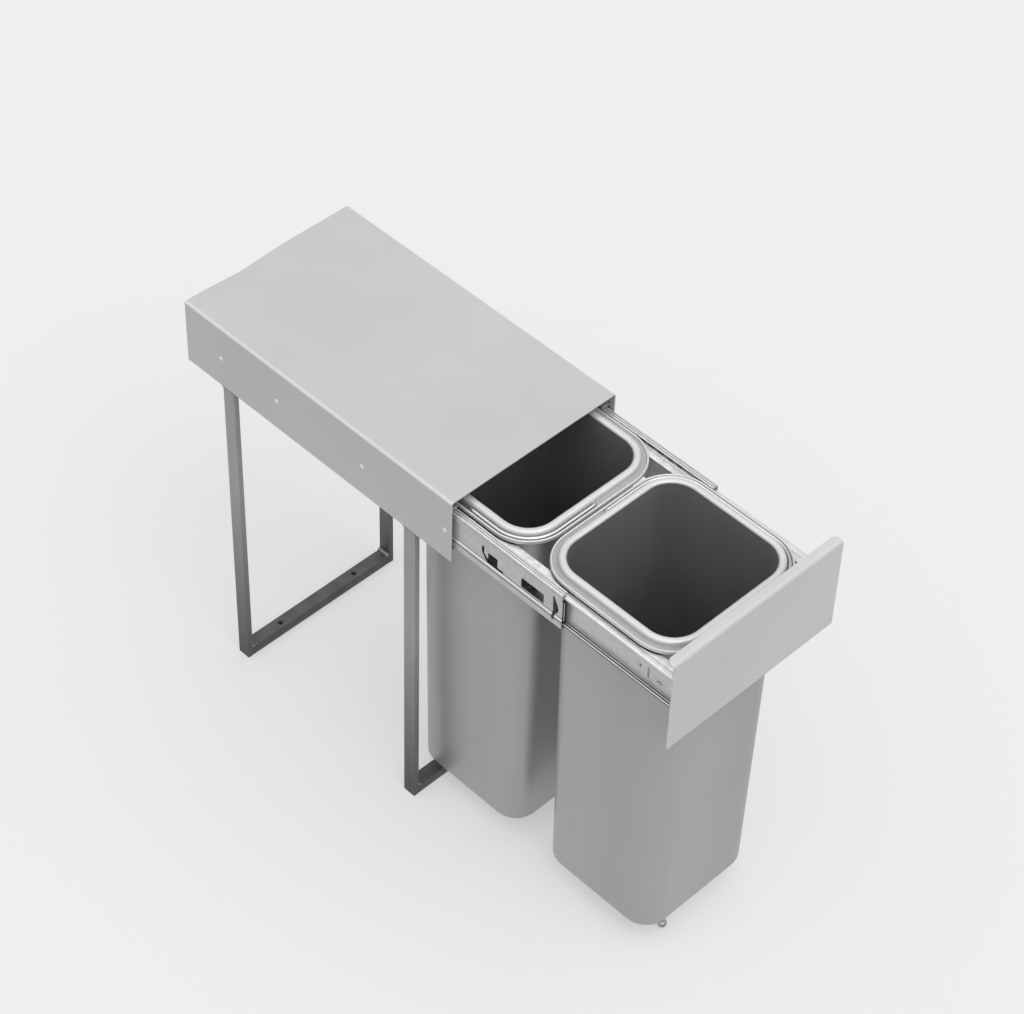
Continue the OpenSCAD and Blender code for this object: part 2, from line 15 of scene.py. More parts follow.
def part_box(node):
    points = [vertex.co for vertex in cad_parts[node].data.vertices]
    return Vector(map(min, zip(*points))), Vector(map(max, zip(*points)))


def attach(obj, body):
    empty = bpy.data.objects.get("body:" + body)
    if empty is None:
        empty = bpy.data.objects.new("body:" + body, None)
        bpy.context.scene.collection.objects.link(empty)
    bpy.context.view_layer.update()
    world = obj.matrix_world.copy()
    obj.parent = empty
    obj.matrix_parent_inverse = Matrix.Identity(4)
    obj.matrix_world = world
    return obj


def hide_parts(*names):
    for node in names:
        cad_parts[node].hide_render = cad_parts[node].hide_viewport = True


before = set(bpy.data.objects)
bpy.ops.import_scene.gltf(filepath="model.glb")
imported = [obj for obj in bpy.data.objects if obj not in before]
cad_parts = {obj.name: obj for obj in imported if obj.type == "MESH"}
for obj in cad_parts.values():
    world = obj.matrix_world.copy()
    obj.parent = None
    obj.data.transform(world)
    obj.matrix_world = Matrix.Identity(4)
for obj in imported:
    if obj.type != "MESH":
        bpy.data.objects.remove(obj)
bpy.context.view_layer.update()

# %% [markdown]
# The camera comes first, because every later decision is judged through it. The photograph looks
# down at the unit from the left of its front. The place, turn and lens below come from matching
# corners of the hood, the rails and the panel. The lens is long, so edges stay almost parallel.
# Its focal length is given in the picture's own pixels.

# %% Put up the camera
TURN, TILT, ROLL = (math.radians(degrees) for degrees in (-45.83, 45.67, 2.05))
STAND = (-1.4537, -1.5778, 2.4565)
SENSOR, FOCAL_LENGTH, PICTURE_WIDTH = 36, 2946, 1024

back = Vector((math.sin(TURN) * math.cos(TILT), -math.cos(TURN) * math.cos(TILT), math.sin(TILT)))
level = (-back).cross(Vector((0, 0, 1))).normalized()
rise = level.cross(-back)
right = level * math.cos(ROLL) + rise * math.sin(ROLL)
upward = rise * math.cos(ROLL) - level * math.sin(ROLL)
camera_data = bpy.data.cameras.new("camera")
camera_data.sensor_width = SENSOR
camera_data.lens = SENSOR * FOCAL_LENGTH / PICTURE_WIDTH
camera = bpy.data.objects.new("camera", camera_data)
placing = Matrix((right, upward, back)).transposed().to_4x4()
placing.translation = Vector(STAND)
camera.matrix_world = placing
bpy.context.scene.collection.objects.link(camera)
bpy.context.scene.camera = camera
bpy.context.scene.view_settings.view_transform = "Standard"
print("lens:", round(camera_data.lens, 1), "mm")

# %% [markdown]
# Shader sums read best as sums. Tap wraps one socket of a node tree, and +, - and * on it add Math
# nodes. Graph makes any other node: its settings are set first, then the values or links of its
# sockets. Colours never go through a Math node, which would turn them grey, but through Mix.

# %% Write shader maths as expressions
def grey(level):
    """An opaque colour with all three parts at one level."""
    return (level, level, level, 1)


class Tap:
    """A value on its way through a tree of nodes."""

    def __init__(self, graph, socket):
        self.graph, self.socket = graph, socket

    def __add__(self, other): return self.graph.maths("ADD", self, other)
    def __radd__(self, other): return self.graph.maths("ADD", other, self)
    def __sub__(self, other): return self.graph.maths("SUBTRACT", self, other)
    def __rsub__(self, other): return self.graph.maths("SUBTRACT", other, self)
    def __mul__(self, other): return self.graph.maths("MULTIPLY", self, other)
    def __rmul__(self, other): return self.graph.maths("MULTIPLY", other, self)


class Graph:
    """A tree of nodes, and how its nodes are made and joined."""

    def __init__(self, owner):
        owner.use_nodes = True
        self.nodes, self.links = owner.node_tree.nodes, owner.node_tree.links

    def node(self, kind, settings=None, sockets=None, out=0):
        """A new node with its settings and sockets filled in, as a Tap on one of its outputs."""
        made = self.nodes.new(kind)
        for name, value in (settings or {}).items():
            setattr(made, name, value)
        for key, value in (sockets or {}).items():
            self.join(made.inputs[key], value)
        return Tap(self, made.outputs[out])

    def join(self, socket, value):
        """Links a Tap to a socket, or sets a plain value on it."""
        if isinstance(value, Tap):
            self.links.new(value.socket, socket)
        else:
            socket.default_value = value

    def maths(self, operation, *values):
        """A Math node's result for one to three values."""
        return self.node("ShaderNodeMath", {"operation": operation}, dict(enumerate(values)))

    def blend(self, mask, first, second):
        """From one colour to another by a mask."""
        return self.node("ShaderNodeMix", {"data_type": "RGBA"}, {0: mask, 6: first, 7: second}, out=2)

    def ray(self, kind):
        """1 where a ray of this kind looks, such as a camera ray."""
        return self.node("ShaderNodeLightPath", out=f"Is {kind} Ray")


print("shader maths ready")

# %% [markdown]
# A finish is a Principled shader with patterns behind its sockets. The patterns are few: noise,
# steps between two values, greys mixed by a mask, lines at given distances or heights, and small
# relief. They read Object coordinates, which are the frame's own metres, so a pattern has the same
# size on every piece.

# %% Describe a finish by its patterns
class Finish(Graph):
    """One material: a Principled shader and the nodes that feed it."""

    def __init__(self, name, **plain):
        self.material = bpy.data.materials.new(name)
        super().__init__(self.material)
        self.shader = self.nodes["Principled BSDF"]
        for socket, value in plain.items():
            self.feed(socket.replace("_", " "), value)

    def feed(self, name, value):
        """Gives one of the shader's sockets its pattern or value."""
        self.join(self.shader.inputs[name], value)

    def place(self, stretch=(1, 1, 1)):
        """The point on the object, stretched along its axes."""
        spot = self.node("ShaderNodeTexCoord", out="Object")
        return self.node("ShaderNodeMapping", sockets={"Vector": spot, "Scale": stretch})

    def noise(self, scale, detail, stretch=(1, 1, 1)):
        """Soft spots from 0 to 1, about 1 / scale metres wide before they are stretched."""
        return self.node("ShaderNodeTexNoise", sockets={
            "Vector": self.place(stretch), "Scale": scale, "Detail": detail})

    def along(self, axis):
        """How far a point lies along X, Y or Z, in metres."""
        return self.node("ShaderNodeSeparateXYZ", sockets={0: self.place()}, out=axis)

    def size_of(self, value):
        """A value without its sign."""
        return self.maths("ABSOLUTE", value)

    def step(self, value, low, high):
        """0 below one value, 1 above the other, and even in between."""
        return self.node("ShaderNodeMapRange", sockets={0: value, 1: low, 2: high})

    def shade(self, mask, dark, light):
        """A grey between two levels, a touch bluish, by a mask."""
        return self.blend(mask, (dark, dark, dark * 1.01, 1), (light, light, light * 1.01, 1))

    def lined(self, colour, lines):
        """Lines along Y drawn over a colour. Each is near a distance from the middle plane, or near
        a height, within a half width, all in metres, and has a grey of its own."""
        spots = {"aside": self.size_of(self.along(0)), "height": self.along(2)}
        for measure, place, half, level in lines:
            near = self.step(self.size_of(spots[measure] - place), half, half * 0.4)
            colour = self.blend(near, colour, grey(level))
        return colour

    def bumps(self, height, depth, strength):
        """Small relief: a height from 0 to 1 that stands for a depth in metres."""
        return self.node("ShaderNodeBump", sockets={
            "Height": height, "Distance": depth, "Strength": strength})


print("patterns ready")

# %% [markdown]
# The hood and the panel are steel sheet under a satin, slightly metallic silver paint. Such paint
# shows a very fine orange peel, and the sheet under it is never quite even, so a broad, faint
# cloud moves the tone. Along the hood's two folded edges the paint is paler: partly rubbed wear and
# partly a painted highlight of the bright line a bend catches. There the distance from the middle
# plane and the height together are largest.

# %% Mix the silver paints
def silver_paint(name, tone, cloud_scale, node, rounding, rub_and_highlight):
    """Paint round a tone, clouded, and paler where |x| + z comes within the rounding of the node's upper
    corner: partly rubbed wear, partly a painted highlight along the fold."""
    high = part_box(node)[1]
    fold = high[0] + high[2] - rounding
    finish = Finish(name, Metallic=0.12, Specular_IOR_Level=0.4)
    cloud = finish.noise(cloud_scale, 3)
    grain = finish.noise(1400, 1)
    # The fold's paler band is partly rubbed wear and partly a painted highlight.
    rubbed_and_highlit = finish.step(finish.size_of(finish.along(0)) + finish.along(2), fold, fold + 0.0009)
    finish.feed("Base Color", finish.shade(cloud * 0.34 + rubbed_and_highlit * rub_and_highlight, tone * 0.9, tone * 1.45))
    finish.feed("Roughness", 0.42 + cloud * 0.1 + grain * 0.06)
    finish.feed("Normal", finish.bumps(grain, 0.00006, 0.35))
    return finish.material


hood_paint = silver_paint("hood_paint", 0.56, 5.0, "hood", 0.003, 0.5)
panel_paint = silver_paint("panel_paint", 0.62, 7.0, "front_panel", 0.0025, 0.12)
print("silver paints mixed")

# %% [markdown]
# The leg frames carry a darker grey powder coat. It is a little coarser than the silver paint,
# and the bars collect faint rubs along their length, which a stretched noise gives. Near the floor
# the tone is darkened as painted shade, where the bins shade the bars, so the tone also follows
# the height.

# %% Mix the grey powder coat
painted_shade_full_below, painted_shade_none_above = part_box("floor_bar_front")[1][2], 0.26
leg_coat = Finish("leg_coat", Metallic=0.25, Specular_IOR_Level=0.5)
rubs = leg_coat.noise(60, 3, (1, 1, 0.12))
peel = leg_coat.noise(900, 2)
# Painted shade: the coat is darkened near the floor, where the bins shade the bars.
above_painted_shade = leg_coat.step(leg_coat.along(2), painted_shade_full_below, painted_shade_none_above)
leg_coat.feed("Base Color", leg_coat.shade(rubs * 0.25 + above_painted_shade * 0.75, 0.04, 0.43))
leg_coat.feed("Roughness", 0.4 + rubs * 0.14)
leg_coat.feed("Normal", leg_coat.bumps(peel, 0.0001, 0.5))
print("powder coat mixed")

# %% [markdown]
# The bins are moulded in a silver-grey plastic with metal flakes. Their walls look satin: broad
# soft bands of light stand in the round corners, and inside they fall off to near black. Real
# bins carry faint upright drag marks from lifting in and out, so a fine noise is stretched
# upright. A broad noise, stretched upright too, paints soft bands of light into the walls' colour,
# as painted reflection.
# The rims are paler, partly rubbed by hands and bags and partly painted light on the tops that
# face the lamp, and they are duller. The insides are a darker copy of the plastic, as painted
# shade, a little shinier than the outsides, and paler near the top, as painted light that reaches
# into the bin. So rim and inside each have a surface of their own. The groove and the underside of
# the lip are painted near black and grey, as painted shade.

# %% Mix the bin plastic
BIN_LOW, BIN_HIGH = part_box("front_bin")
GROOVE_FLOOR = BIN_HIGH[2] - 0.0073
PAINTED_LIGHT_FROM, PAINTED_LIGHT_TO = 0.33, 0.47


def bin_surface(name, dark, light, metallic, rough, painted_light_near_top=0.0):
    """Plastic between two greys by a sum of four noises, and, if given, paler towards the top as painted
    light.
    """
    finish = Finish(name, Metallic=metallic, Specular_IOR_Level=0.5)
    drag = finish.noise(90, 1, (1, 1, 0.02))
    # The broad upright noise paints soft bands of light into the walls: painted reflection.
    painted_light_bands = finish.noise(11, 0, (1, 1, 0.03))
    flow = finish.noise(6, 2)
    flakes = finish.noise(2600, 0)
    mottle = drag * 0.14 + flow * 0.2 + flakes * 0.16 + painted_light_bands * 0.5
    # Painted light: paler towards the top, where light reaches into the bin.
    if painted_light_near_top:
        mottle = mottle + finish.step(finish.along(2), PAINTED_LIGHT_FROM, PAINTED_LIGHT_TO) * painted_light_near_top
    finish.feed("Base Color", finish.shade(mottle, dark, light))
    finish.feed("Roughness", rough + drag * 0.08 + flow * 0.06)
    finish.feed("Normal", finish.bumps(flakes, 0.00003, 0.3))
    return finish.material


bin_plastic = bin_surface("bin_plastic", 0.38, 0.62, 0.56, 0.26)
# The inside is a darker copy of the plastic, painted shade, and painted paler near the top.
bin_inside_painted_shade_and_light = bin_surface("bin_inside_painted_shade_and_light", 0.27, 0.47, 0.68, 0.24, 0.5)
# The rim is paler: partly wear, partly painted light on tops that face the lamp.
bin_rim_wear_and_painted_light = bin_surface("bin_rim_wear_and_painted_light", 0.6, 0.7, 0.35, 0.36)

# Painted shade: near black under the lip, grey in the groove beside the wire.
painted_crevice_shade = Finish("bin_painted_crevice_shade", Metallic=0.0, Specular_IOR_Level=0.1)
shade_mottle = painted_crevice_shade.noise(220, 3)
open_groove = painted_crevice_shade.step(painted_crevice_shade.along(2), GROOVE_FLOOR - 0.0015, GROOVE_FLOOR - 0.0005)
painted_crevice_shade.feed("Base Color", painted_crevice_shade.shade(open_groove * 0.8 + shade_mottle * 0.2, 0.01, 0.5))
painted_crevice_shade.feed("Roughness", 0.7 + shade_mottle * 0.2)
print("bin plastic mixed")

# %% [markdown]
# The slides are cold-rolled strip with a bright zinc coat. Rolling leaves fine lines along the
# rail, and the zinc has soft, uneven patches. Dark lines are painted along the rails as painted
# shade in the corners and grooves of the rolled shapes, and a pale line on the middle rail's
# ledge is a painted highlight. The cabinet rails, deep in the hood, are a darker copy of the
# zinc, as painted shade. The carrier is hot-dip galvanised sheet, where the zinc froze in
# crystals some millimetres wide, each with its own grey and its own polish. Where the bins' lips
# rest on it, a dark line is painted as the lips' shadow: a rectangle with round corners under
# each bin, just inside the lip's edge. Heights of the rails' lines are counted down from the
# middle rail's top and up from the drawer rail's underside.

# %% Mix the zinc coats
def bright_zinc(name, tone, rough, painted_lines=()):
    """Zinc with soft patches and fine lines along Y, and with lines of painted shade and highlight drawn
    over it.
    """
    finish = Finish(name, Metallic=0.5)
    patches = finish.noise(150, 5)
    lines = finish.noise(300, 2, (1, 0.03, 1))
    coat = finish.shade(patches * 0.75 + lines * 0.25, tone * 0.7, tone * 1.25)
    finish.feed("Base Color", finish.lined(coat, painted_lines))
    finish.feed("Roughness", rough + patches * 0.12)
    finish.feed("Normal", finish.bumps(lines, 0.00004, 0.4))
    return finish.material


rail_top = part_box("middle_rail_left")[1][2]
rail_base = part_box("drawer_rail_left")[0][2]
rail_zinc = bright_zinc("rail_zinc", 0.68, 0.26)
# The cabinet rails are a darker copy of the bright zinc: painted shade deep inside the hood.
cabinet_zinc_painted_shade = bright_zinc("cabinet_zinc_painted_shade", 0.42, 0.3)
# Dark lines are painted shade in the rails' grooves and corners; the 0.95 line on the ledge is a painted
# highlight.
middle_zinc = bright_zinc("middle_zinc", 0.66, 0.28, [
    ("aside", 0.1004, 0.0005, 0.16), ("aside", 0.1030, 0.0005, 0.16)] + [
    ("height", rail_top - down, half, level) for down, half, level in (
        (0.0037, 0.0007, 0.3), (0.0086, 0.0010, 0.1), (0.0329, 0.0010, 0.06),
        (0.0345, 0.0009, 0.95), (0.0372, 0.0010, 0.08), (0.0475, 0.0012, 0.25))])
drawer_zinc = bright_zinc("drawer_zinc", 0.7, 0.26, [
    ("height", rail_base + 0.0016, 0.0009, 0.05), ("height", rail_base + 0.0003, 0.0006, 0.2)])

spangle = Finish("spangle_zinc", Metallic=0.4)
crystals = spangle.node("ShaderNodeTexVoronoi", {"feature": "F1"}, {
    "Vector": spangle.place(), "Scale": 190.0, "Randomness": 1.0}, out="Color")
crystal = spangle.node("ShaderNodeSeparateColor", sockets={0: crystals})
drift = spangle.noise(35, 3)


def beyond(centre_to_arc, axis, middle=0.0, between=0.0):
    """How far a point lies past the start of the rounded corners of both bins' rims, never less
    than 0: the distance from the middle between the bins is folded over each bin's own middle."""
    away = spangle.size_of(spangle.size_of(spangle.along(axis) - middle) - between)
    return spangle.maths("MAXIMUM", away - centre_to_arc, 0.0)


RIM_CORNER, LINE_INSIDE = 0.0455, 0.0018
half_rim = [(BIN_HIGH[k] - BIN_LOW[k]) / 2 for k in (0, 1)]
front_y, rear_y = [sum(corner[1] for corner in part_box(name)) / 2 for name in ("front_bin", "rear_bin")]
aside = beyond(half_rim[0] - RIM_CORNER, 0)
ahead = beyond(half_rim[1] - RIM_CORNER, 1, (front_y + rear_y) / 2, (rear_y - front_y) / 2)
from_arc = spangle.maths("SQRT", aside * aside + ahead * ahead)
# Painted shadow: a dark rounded-rectangle line on the carrier just inside each bin lip's edge.
painted_lip_shadow = spangle.step(spangle.size_of(from_arc - (RIM_CORNER - LINE_INSIDE)), 0.0019, 0.0014)
unshadowed_zinc = spangle.shade(crystal * 0.5 + drift * 0.5, 0.52, 0.88)
spangle.feed("Base Color", spangle.blend(painted_lip_shadow, unshadowed_zinc, grey(0.015)))
spangle.feed("Roughness", 0.32 + crystal * 0.14)
spangle.feed("Normal", spangle.bumps(crystal, 0.00003, 0.25))
print("zinc coats mixed")

# %% [markdown]
# The small pieces have plain workshop finishes: drawn wire with a bright coat, turned steel, a
# weld's rippled skin, black rubber and black plastic. Each gets its own grain, because a flat
# colour reads as unfinished up close. The ball cages are blackened strip with spots of grease.

# %% Mix the finishes of the small pieces
def small_finish(name, tone, metallic, rough, grain_scale, depth):
    """One grain moves the tone, the roughness and the relief."""
    finish = Finish(name, Metallic=metallic)
    grain = finish.noise(grain_scale, 3)
    finish.feed("Base Color", finish.shade(grain, tone * 0.85, tone * 1.15))
    finish.feed("Roughness", rough + grain * 0.1)
    finish.feed("Normal", finish.bumps(grain, depth, 0.5))
    return finish.material


wire_coat = small_finish("wire_coat", 0.52, 1.0, 0.12, 400, 0.00002)
rivet_steel = small_finish("rivet_steel", 0.8, 0.4, 0.2, 500, 0.00003)
fastener_steel = small_finish("fastener_steel", 0.55, 0.9, 0.3, 500, 0.00004)
ball_steel = small_finish("ball_steel", 0.8, 1.0, 0.06, 200, 0.00001)
weld_skin = small_finish("weld_skin", 0.3, 0.6, 0.4, 420, 0.0002)
foot_steel = small_finish("foot_steel", 0.42, 1.0, 0.16, 300, 0.00003)
black_rubber = small_finish("black_rubber", 0.025, 0.0, 0.62, 800, 0.0001)
black_plastic = small_finish("black_plastic", 0.008, 0.0, 0.5, 600, 0.00005)
black_plastic.node_tree.nodes["Principled BSDF"].inputs["Specular IOR Level"].default_value = 0.12

cage_steel = Finish("cage_steel", Metallic=0.0, Specular_IOR_Level=0.08)
oil = cage_steel.noise(330, 3)
oil_spots = cage_steel.step(oil, 0.48, 0.66)
cage_steel.feed("Base Color", cage_steel.shade(oil_spots, 0.004, 0.06))
cage_steel.feed("Roughness", 0.5 + oil * 0.2)
cage_steel.feed("Normal", cage_steel.bumps(oil, 0.0003, 0.6))
print("materials:", len(bpy.data.materials))

# %% [markdown]
# A new piece is a grid of points with its skin of quads. Numpy works out the points as whole
# arrays. The skin joins each ring of points to the next, and closes the two ends. Its normals are
# turned outwards once the mesh is closed, because carrying an outline to the left or to the right
# turns a skin inside out.

# %% Make a mesh from rings of points
MM = 0.001


def skin(rings, ends="face"):
    """Points and faces of a closed surface through rings. Ends are one face each, or, for a bent
    strip whose ring runs up one side and down the other, a row of quads across its thickness.
    A surface whose last ring lies on its first has no ends."""
    count, size, _ = rings.shape
    i, j = np.meshgrid(np.arange(count - 1), np.arange(size), indexing="ij")
    here, beside = i * size + j, i * size + (j + 1) % size
    faces = np.stack([here, beside, beside + size, here + size], -1).reshape(-1, 4).tolist()
    last = (count - 1) * size
    if ends == "face":
        faces += [list(range(size))[::-1], list(range(last, last + size))]
    elif ends == "strip":
        k = np.arange(size // 2 - 1)
        across = np.stack([k, size - 1 - k, size - 2 - k, k + 1], -1)
        faces += across.tolist() + (across[:, ::-1] + last).tolist()
    return rings.reshape(-1, 3), faces


def new_mesh(name, shell):
    """An object at the origin from points in millimetres and faces."""
    points, faces = shell
    mesh = bpy.data.meshes.new(name)
    mesh.from_pydata(points * MM, [], faces)
    return bpy.data.objects.new(name, mesh)


def outwards(piece):
    """Merges double points and turns every face's normal outwards."""
    work = bmesh.new()
    work.from_mesh(piece.data)
    bmesh.ops.remove_doubles(work, verts=work.verts, dist=1e-7)
    bmesh.ops.recalc_face_normals(work, faces=work.faces)
    work.to_mesh(piece.data)
    work.free()


print("mesh helpers ready")

# %% [markdown]
# Every piece is finished in the same way. It gets its material, smooth shading that stays sharp at
# real edges, and, where an edge would catch the light, a fine bevel. It rides on one of the frame's
# bodies and replaces the CAD nodes that it stands for.

# %% Finish a piece
SHARP_ANGLE, BEVEL_ANGLE = math.radians(32), math.radians(50)


def finished(piece, material, body, stands_for=(), edge=0.0):
    """Gives a piece its finish, softened edges and body."""
    bpy.context.scene.collection.objects.link(piece)
    outwards(piece)
    piece.data.materials.clear()
    piece.data.materials.append(getattr(material, "material", material))
    piece.data.shade_smooth()
    piece.data.set_sharp_from_angle(angle=SHARP_ANGLE)
    if edge:
        bevel = piece.modifiers.new("softened_edges", "BEVEL")
        bevel.width, bevel.segments = edge * MM, 2
        bevel.limit_method, bevel.angle_limit = "ANGLE", BEVEL_ANGLE
        bevel.harden_normals = False
    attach(piece, body)
    if stands_for:
        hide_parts(*stands_for)
    print(piece.name, len(piece.data.polygons), "faces")
    return piece


def span(node):
    """A node's low and high corners at rest, in millimetres."""
    low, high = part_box(node)
    return np.array(low) / MM, np.array(high) / MM


print("hood, mm:", [corner.round(1).tolist() for corner in span("hood")])

# %% [markdown]
# Pressed and rolled parts have round bends, and round bends catch the light, so nearly every
# outline here is a line of corners with a radius at each. The arc at a corner that turns by an
# angle starts radius times the tangent of half that angle before the corner.

# %% Round the corners of a line
def soften(corners, radii, closed=True, steps=6):
    """The line through the corners with each corner turned into an arc that touches both sides."""
    spots = np.array(corners, float)
    radius = np.broadcast_to(np.array(radii, float), len(spots)).copy()
    before = spots - np.roll(spots, 1, 0)
    after = np.roll(spots, -1, 0) - spots
    before /= np.linalg.norm(before, axis=1)[:, None] + 1e-12
    after /= np.linalg.norm(after, axis=1)[:, None] + 1e-12
    turned = np.arctan2(before[:, 0] * after[:, 1] - before[:, 1] * after[:, 0],
                        (before * after).sum(1))
    if not closed:
        turned[[0, -1]] = 0
    radius[np.abs(turned) < 1e-6] = 0
    begin = spots - before * (radius * np.tan(np.abs(turned) / 2))[:, None]
    left = np.stack([-before[:, 1], before[:, 0]], 1) * np.sign(turned)[:, None]
    arm = -left * radius[:, None]
    angle = turned[:, None] * np.linspace(0, 1, steps + 1)
    x = arm[:, :1] * np.cos(angle) - arm[:, 1:] * np.sin(angle) + (begin - arm)[:, :1]
    y = arm[:, :1] * np.sin(angle) + arm[:, 1:] * np.cos(angle) + (begin - arm)[:, 1:]
    line = np.stack([x.ravel(), y.ravel()], 1)
    fresh = np.linalg.norm(line - np.roll(line, 1, 0), axis=1) > 1e-4
    fresh[0] = not closed or fresh[0]
    return line[fresh]


def filled(line, step):
    """The same line with more points on its long straight parts."""
    run = np.concatenate([[0], np.cumsum(np.linalg.norm(np.diff(line, axis=0), axis=1))])
    extra = np.arange(step, run[-1], step)
    extra = extra[np.abs(extra[:, None] - run).min(1) > step / 3]
    places = np.sort(np.concatenate([run, extra]))
    return np.stack([np.interp(places, run, line[:, k]) for k in (0, 1)], 1)


print("points of a softened square:", len(soften([(0, 0), (1, 0), (1, 1), (0, 1)], 0.2)))

# %% [markdown]
# A bin is one profile carried round a rectangle with round corners. The way round is worked out
# once for both bins: as shares of the half sizes, directions, and distances from a side's ends.

# %% Go once round a rectangle with round corners
def once_round(corner_steps=12, side_steps=10):
    """For each place round the rim: where its corner's centre is, as a share of the half sizes,
    its direction from there, and how far it is from the ends of its side."""
    signs = np.array([(1, 1), (-1, 1), (-1, -1), (1, -1)], float)
    share, heading, inner = [], [], []
    for k in range(4):
        angle = np.pi / 2 * (k + np.linspace(0, 1, corner_steps + 1))
        share.append(np.repeat(signs[k:k + 1], corner_steps + 1, 0))
        heading.append(np.stack([np.cos(angle), np.sin(angle)], 1))
        inner.append(np.zeros(corner_steps + 1))
        run = np.linspace(0, 1, side_steps + 1)[1:-1, None]
        share.append(signs[k] * (1 - run) + signs[(k + 1) % 4] * run)
        heading.append(np.repeat(heading[-1][-1:], side_steps - 1, 0))
        inner.append(4 * run[:, 0] * (1 - run[:, 0]))
    return np.vstack(share), np.vstack(heading), np.concatenate(inner)


print("places round a rim:", len(once_round()[0]))

# %% [markdown]
# The profile starts under the floor, climbs the outer wall, goes round the rim's lip, groove and
# bead, and comes down inside. A point of it lies an offset outside the opening, so a corner's
# radius grows with the offset.
# The lip is undercut a little at its edge, where it stands clear of the carrier. A face's distance
# outside the opening says whether it belongs to the rim, lies in one of the two crevices, or is on
# the inner side of the wall's middle.
# The long walls of a moulded tub draw in a little between the corners, which bends the light.
# The sizes before make_bin are the widths of lip, groove and bead, the wall's thickness, how far the
# walls lean in, and the radius of the opening's corners.

# %% Carry the bins' profile round the rims
lip, groove, bead, wall, lean = 2.2, 5.3, 8.0, 2.2, 4.5
rim = lip + groove + bead
opening_radius = 30.0


def make_bin(name, node):
    """A point at a place is the corner's centre there, plus the place's direction times the
    corner's radius and the profile's offset. Its height is the profile's."""
    low, high = span(node)
    middle, half = (low + high) / 2, (high - low)[:2] / 2 - rim
    top, under = high[2], low[2]
    seat = top - 10.5
    corners = [(-14, under + 1.2), (-11.6, under + 1.2), (-10.6, under), (wall - lean, under),
               (wall, seat), (rim - 3.4, seat), (rim - 3, seat + 1.7), (rim, seat + 1.7),
               (rim, seat + 6.2), (rim - lip, seat + 6.2),
               (rim - lip, seat + 3.2), (bead, seat + 3.2), (bead, top), (0, top),
               (-lean, under + wall), (-14, under + wall)]
    radii = [0, 0.8, 0.8, 7, 1.2, 0.2, 0.2, 0.6, 1.05, 1.05, 1.3, 1.6, 3.4, 3.0, 6, 0]
    profile = filled(soften(corners, radii, closed=False, steps=7), 24)
    share, heading, inner = once_round()
    draw_in = 0.9 * np.sin(np.pi * np.clip((profile[:, 1] - under) / (seat - under), 0, 1)) ** 2
    reach = (opening_radius + profile[:, 0])[:, None] - draw_in[:, None] * inner
    level_shape = share * (half - opening_radius) + heading * reach[..., None]
    heights = np.broadcast_to(profile[:, 1, None, None], reach.shape + (1,))
    rings = np.concatenate([level_shape, heights], -1)
    shrink = np.array([0.05, 0.4, 0.75])[:, None, None] * [1, 1, 0] + [0, 0, 1]
    rings = np.concatenate([rings[:1] * shrink, rings, rings[-1:] * shrink[::-1]])
    rings[..., :2] += middle[:2]
    tub = finished(new_mesh(name, skin(rings)), bin_plastic, node, [node])
    for material in (bin_rim_wear_and_painted_light, painted_crevice_shade.material, bin_inside_painted_shade_and_light):
        tub.data.materials.append(material)
    spots = np.array([face.center for face in tub.data.polygons]) / MM
    past = np.abs(spots[:, :2] - middle[:2]) - (half - opening_radius)
    offset = np.hypot(*np.maximum(past, 0).T) + np.minimum(past.max(1), 0) - opening_radius
    climb = spots[:, 2] - seat
    on_rim = (offset > 0.05) & (climb > 1)
    under_lip = (offset > wall + 0.2) & (climb > -0.2) & (climb < 1.75)
    in_groove = (np.abs(offset - bead - groove / 2) < 2.4) & (climb > 3) & (climb < 3.9)
    up_wall = np.clip((spots[:, 2] - under) / (seat - under), 0, 1)
    inside = (offset < wall / 2 - lean * (1 - up_wall)) & (spots[:, 2] > under + 1.7) & ~on_rim
    # Faces under the lip and in the groove take the painted shade, the rim its paler copy, the inside its
    # darker one.
    surface = np.select([under_lip | in_groove, on_rim, inside], [2, 1, 3], 0)
    tub.data.polygons.foreach_set("material_index", surface.astype(np.int32))
    print("faces of each surface:", np.bincount(surface).tolist())


make_bin("bin_tub_front", "front_bin")
make_bin("bin_tub_rear", "rear_bin")

# %% [markdown]
# A bail is a wire handle that lies in the rim's groove when it is down. The wire follows half of
# the rim, and its two ends turn inwards into the bead, where they pivot. It is a circle carried
# along that path, so its bends are as round as bent wire.

# %% Bend the bails
def left_of(line):
    """The unit vector to a line's left at each of its points, square to the mean of the directions
    before and after the point."""
    ahead = np.diff(line, axis=0)
    ahead /= np.linalg.norm(ahead, axis=1)[:, None]
    along = np.vstack([ahead[:1], ahead[1:] + ahead[:-1], ahead[-1:]])
    along /= np.linalg.norm(along, axis=1)[:, None]
    return np.stack([-along[:, 1], along[:, 0]], 1)


def make_bail(name, node, bin_node, side):
    """A circle of the wire's radius, square to the path at each of its points."""
    low, high = span(node)
    bin_low, bin_high = span(bin_node)
    wire = (high[2] - low[2]) / 2
    centre = (bin_low + bin_high) / 2
    x, y = (bin_high - bin_low)[:2] / 2 - lip - groove / 2
    ends = y - groove / 2 - bead + 2.5
    radius = opening_radius + bead + groove / 2
    corners = [(0, ends), (0, y), (side * x, y), (side * x, -y), (0, -y), (0, -ends)]
    path = filled(soften(corners, [0, 3.1, radius, radius, 3.1, 0], closed=False, steps=16), 12)
    angle = np.linspace(0, 2 * np.pi, 20, endpoint=False)
    rings = np.empty((len(path), len(angle), 3))
    rings[..., :2] = (path + centre[:2])[:, None] + left_of(path)[:, None] * (wire * np.cos(angle))[:, None]
    rings[..., 2] = (low[2] + high[2]) / 2 + wire * np.sin(angle)
    finished(new_mesh(name, skin(rings)), wire_coat, node, [node])


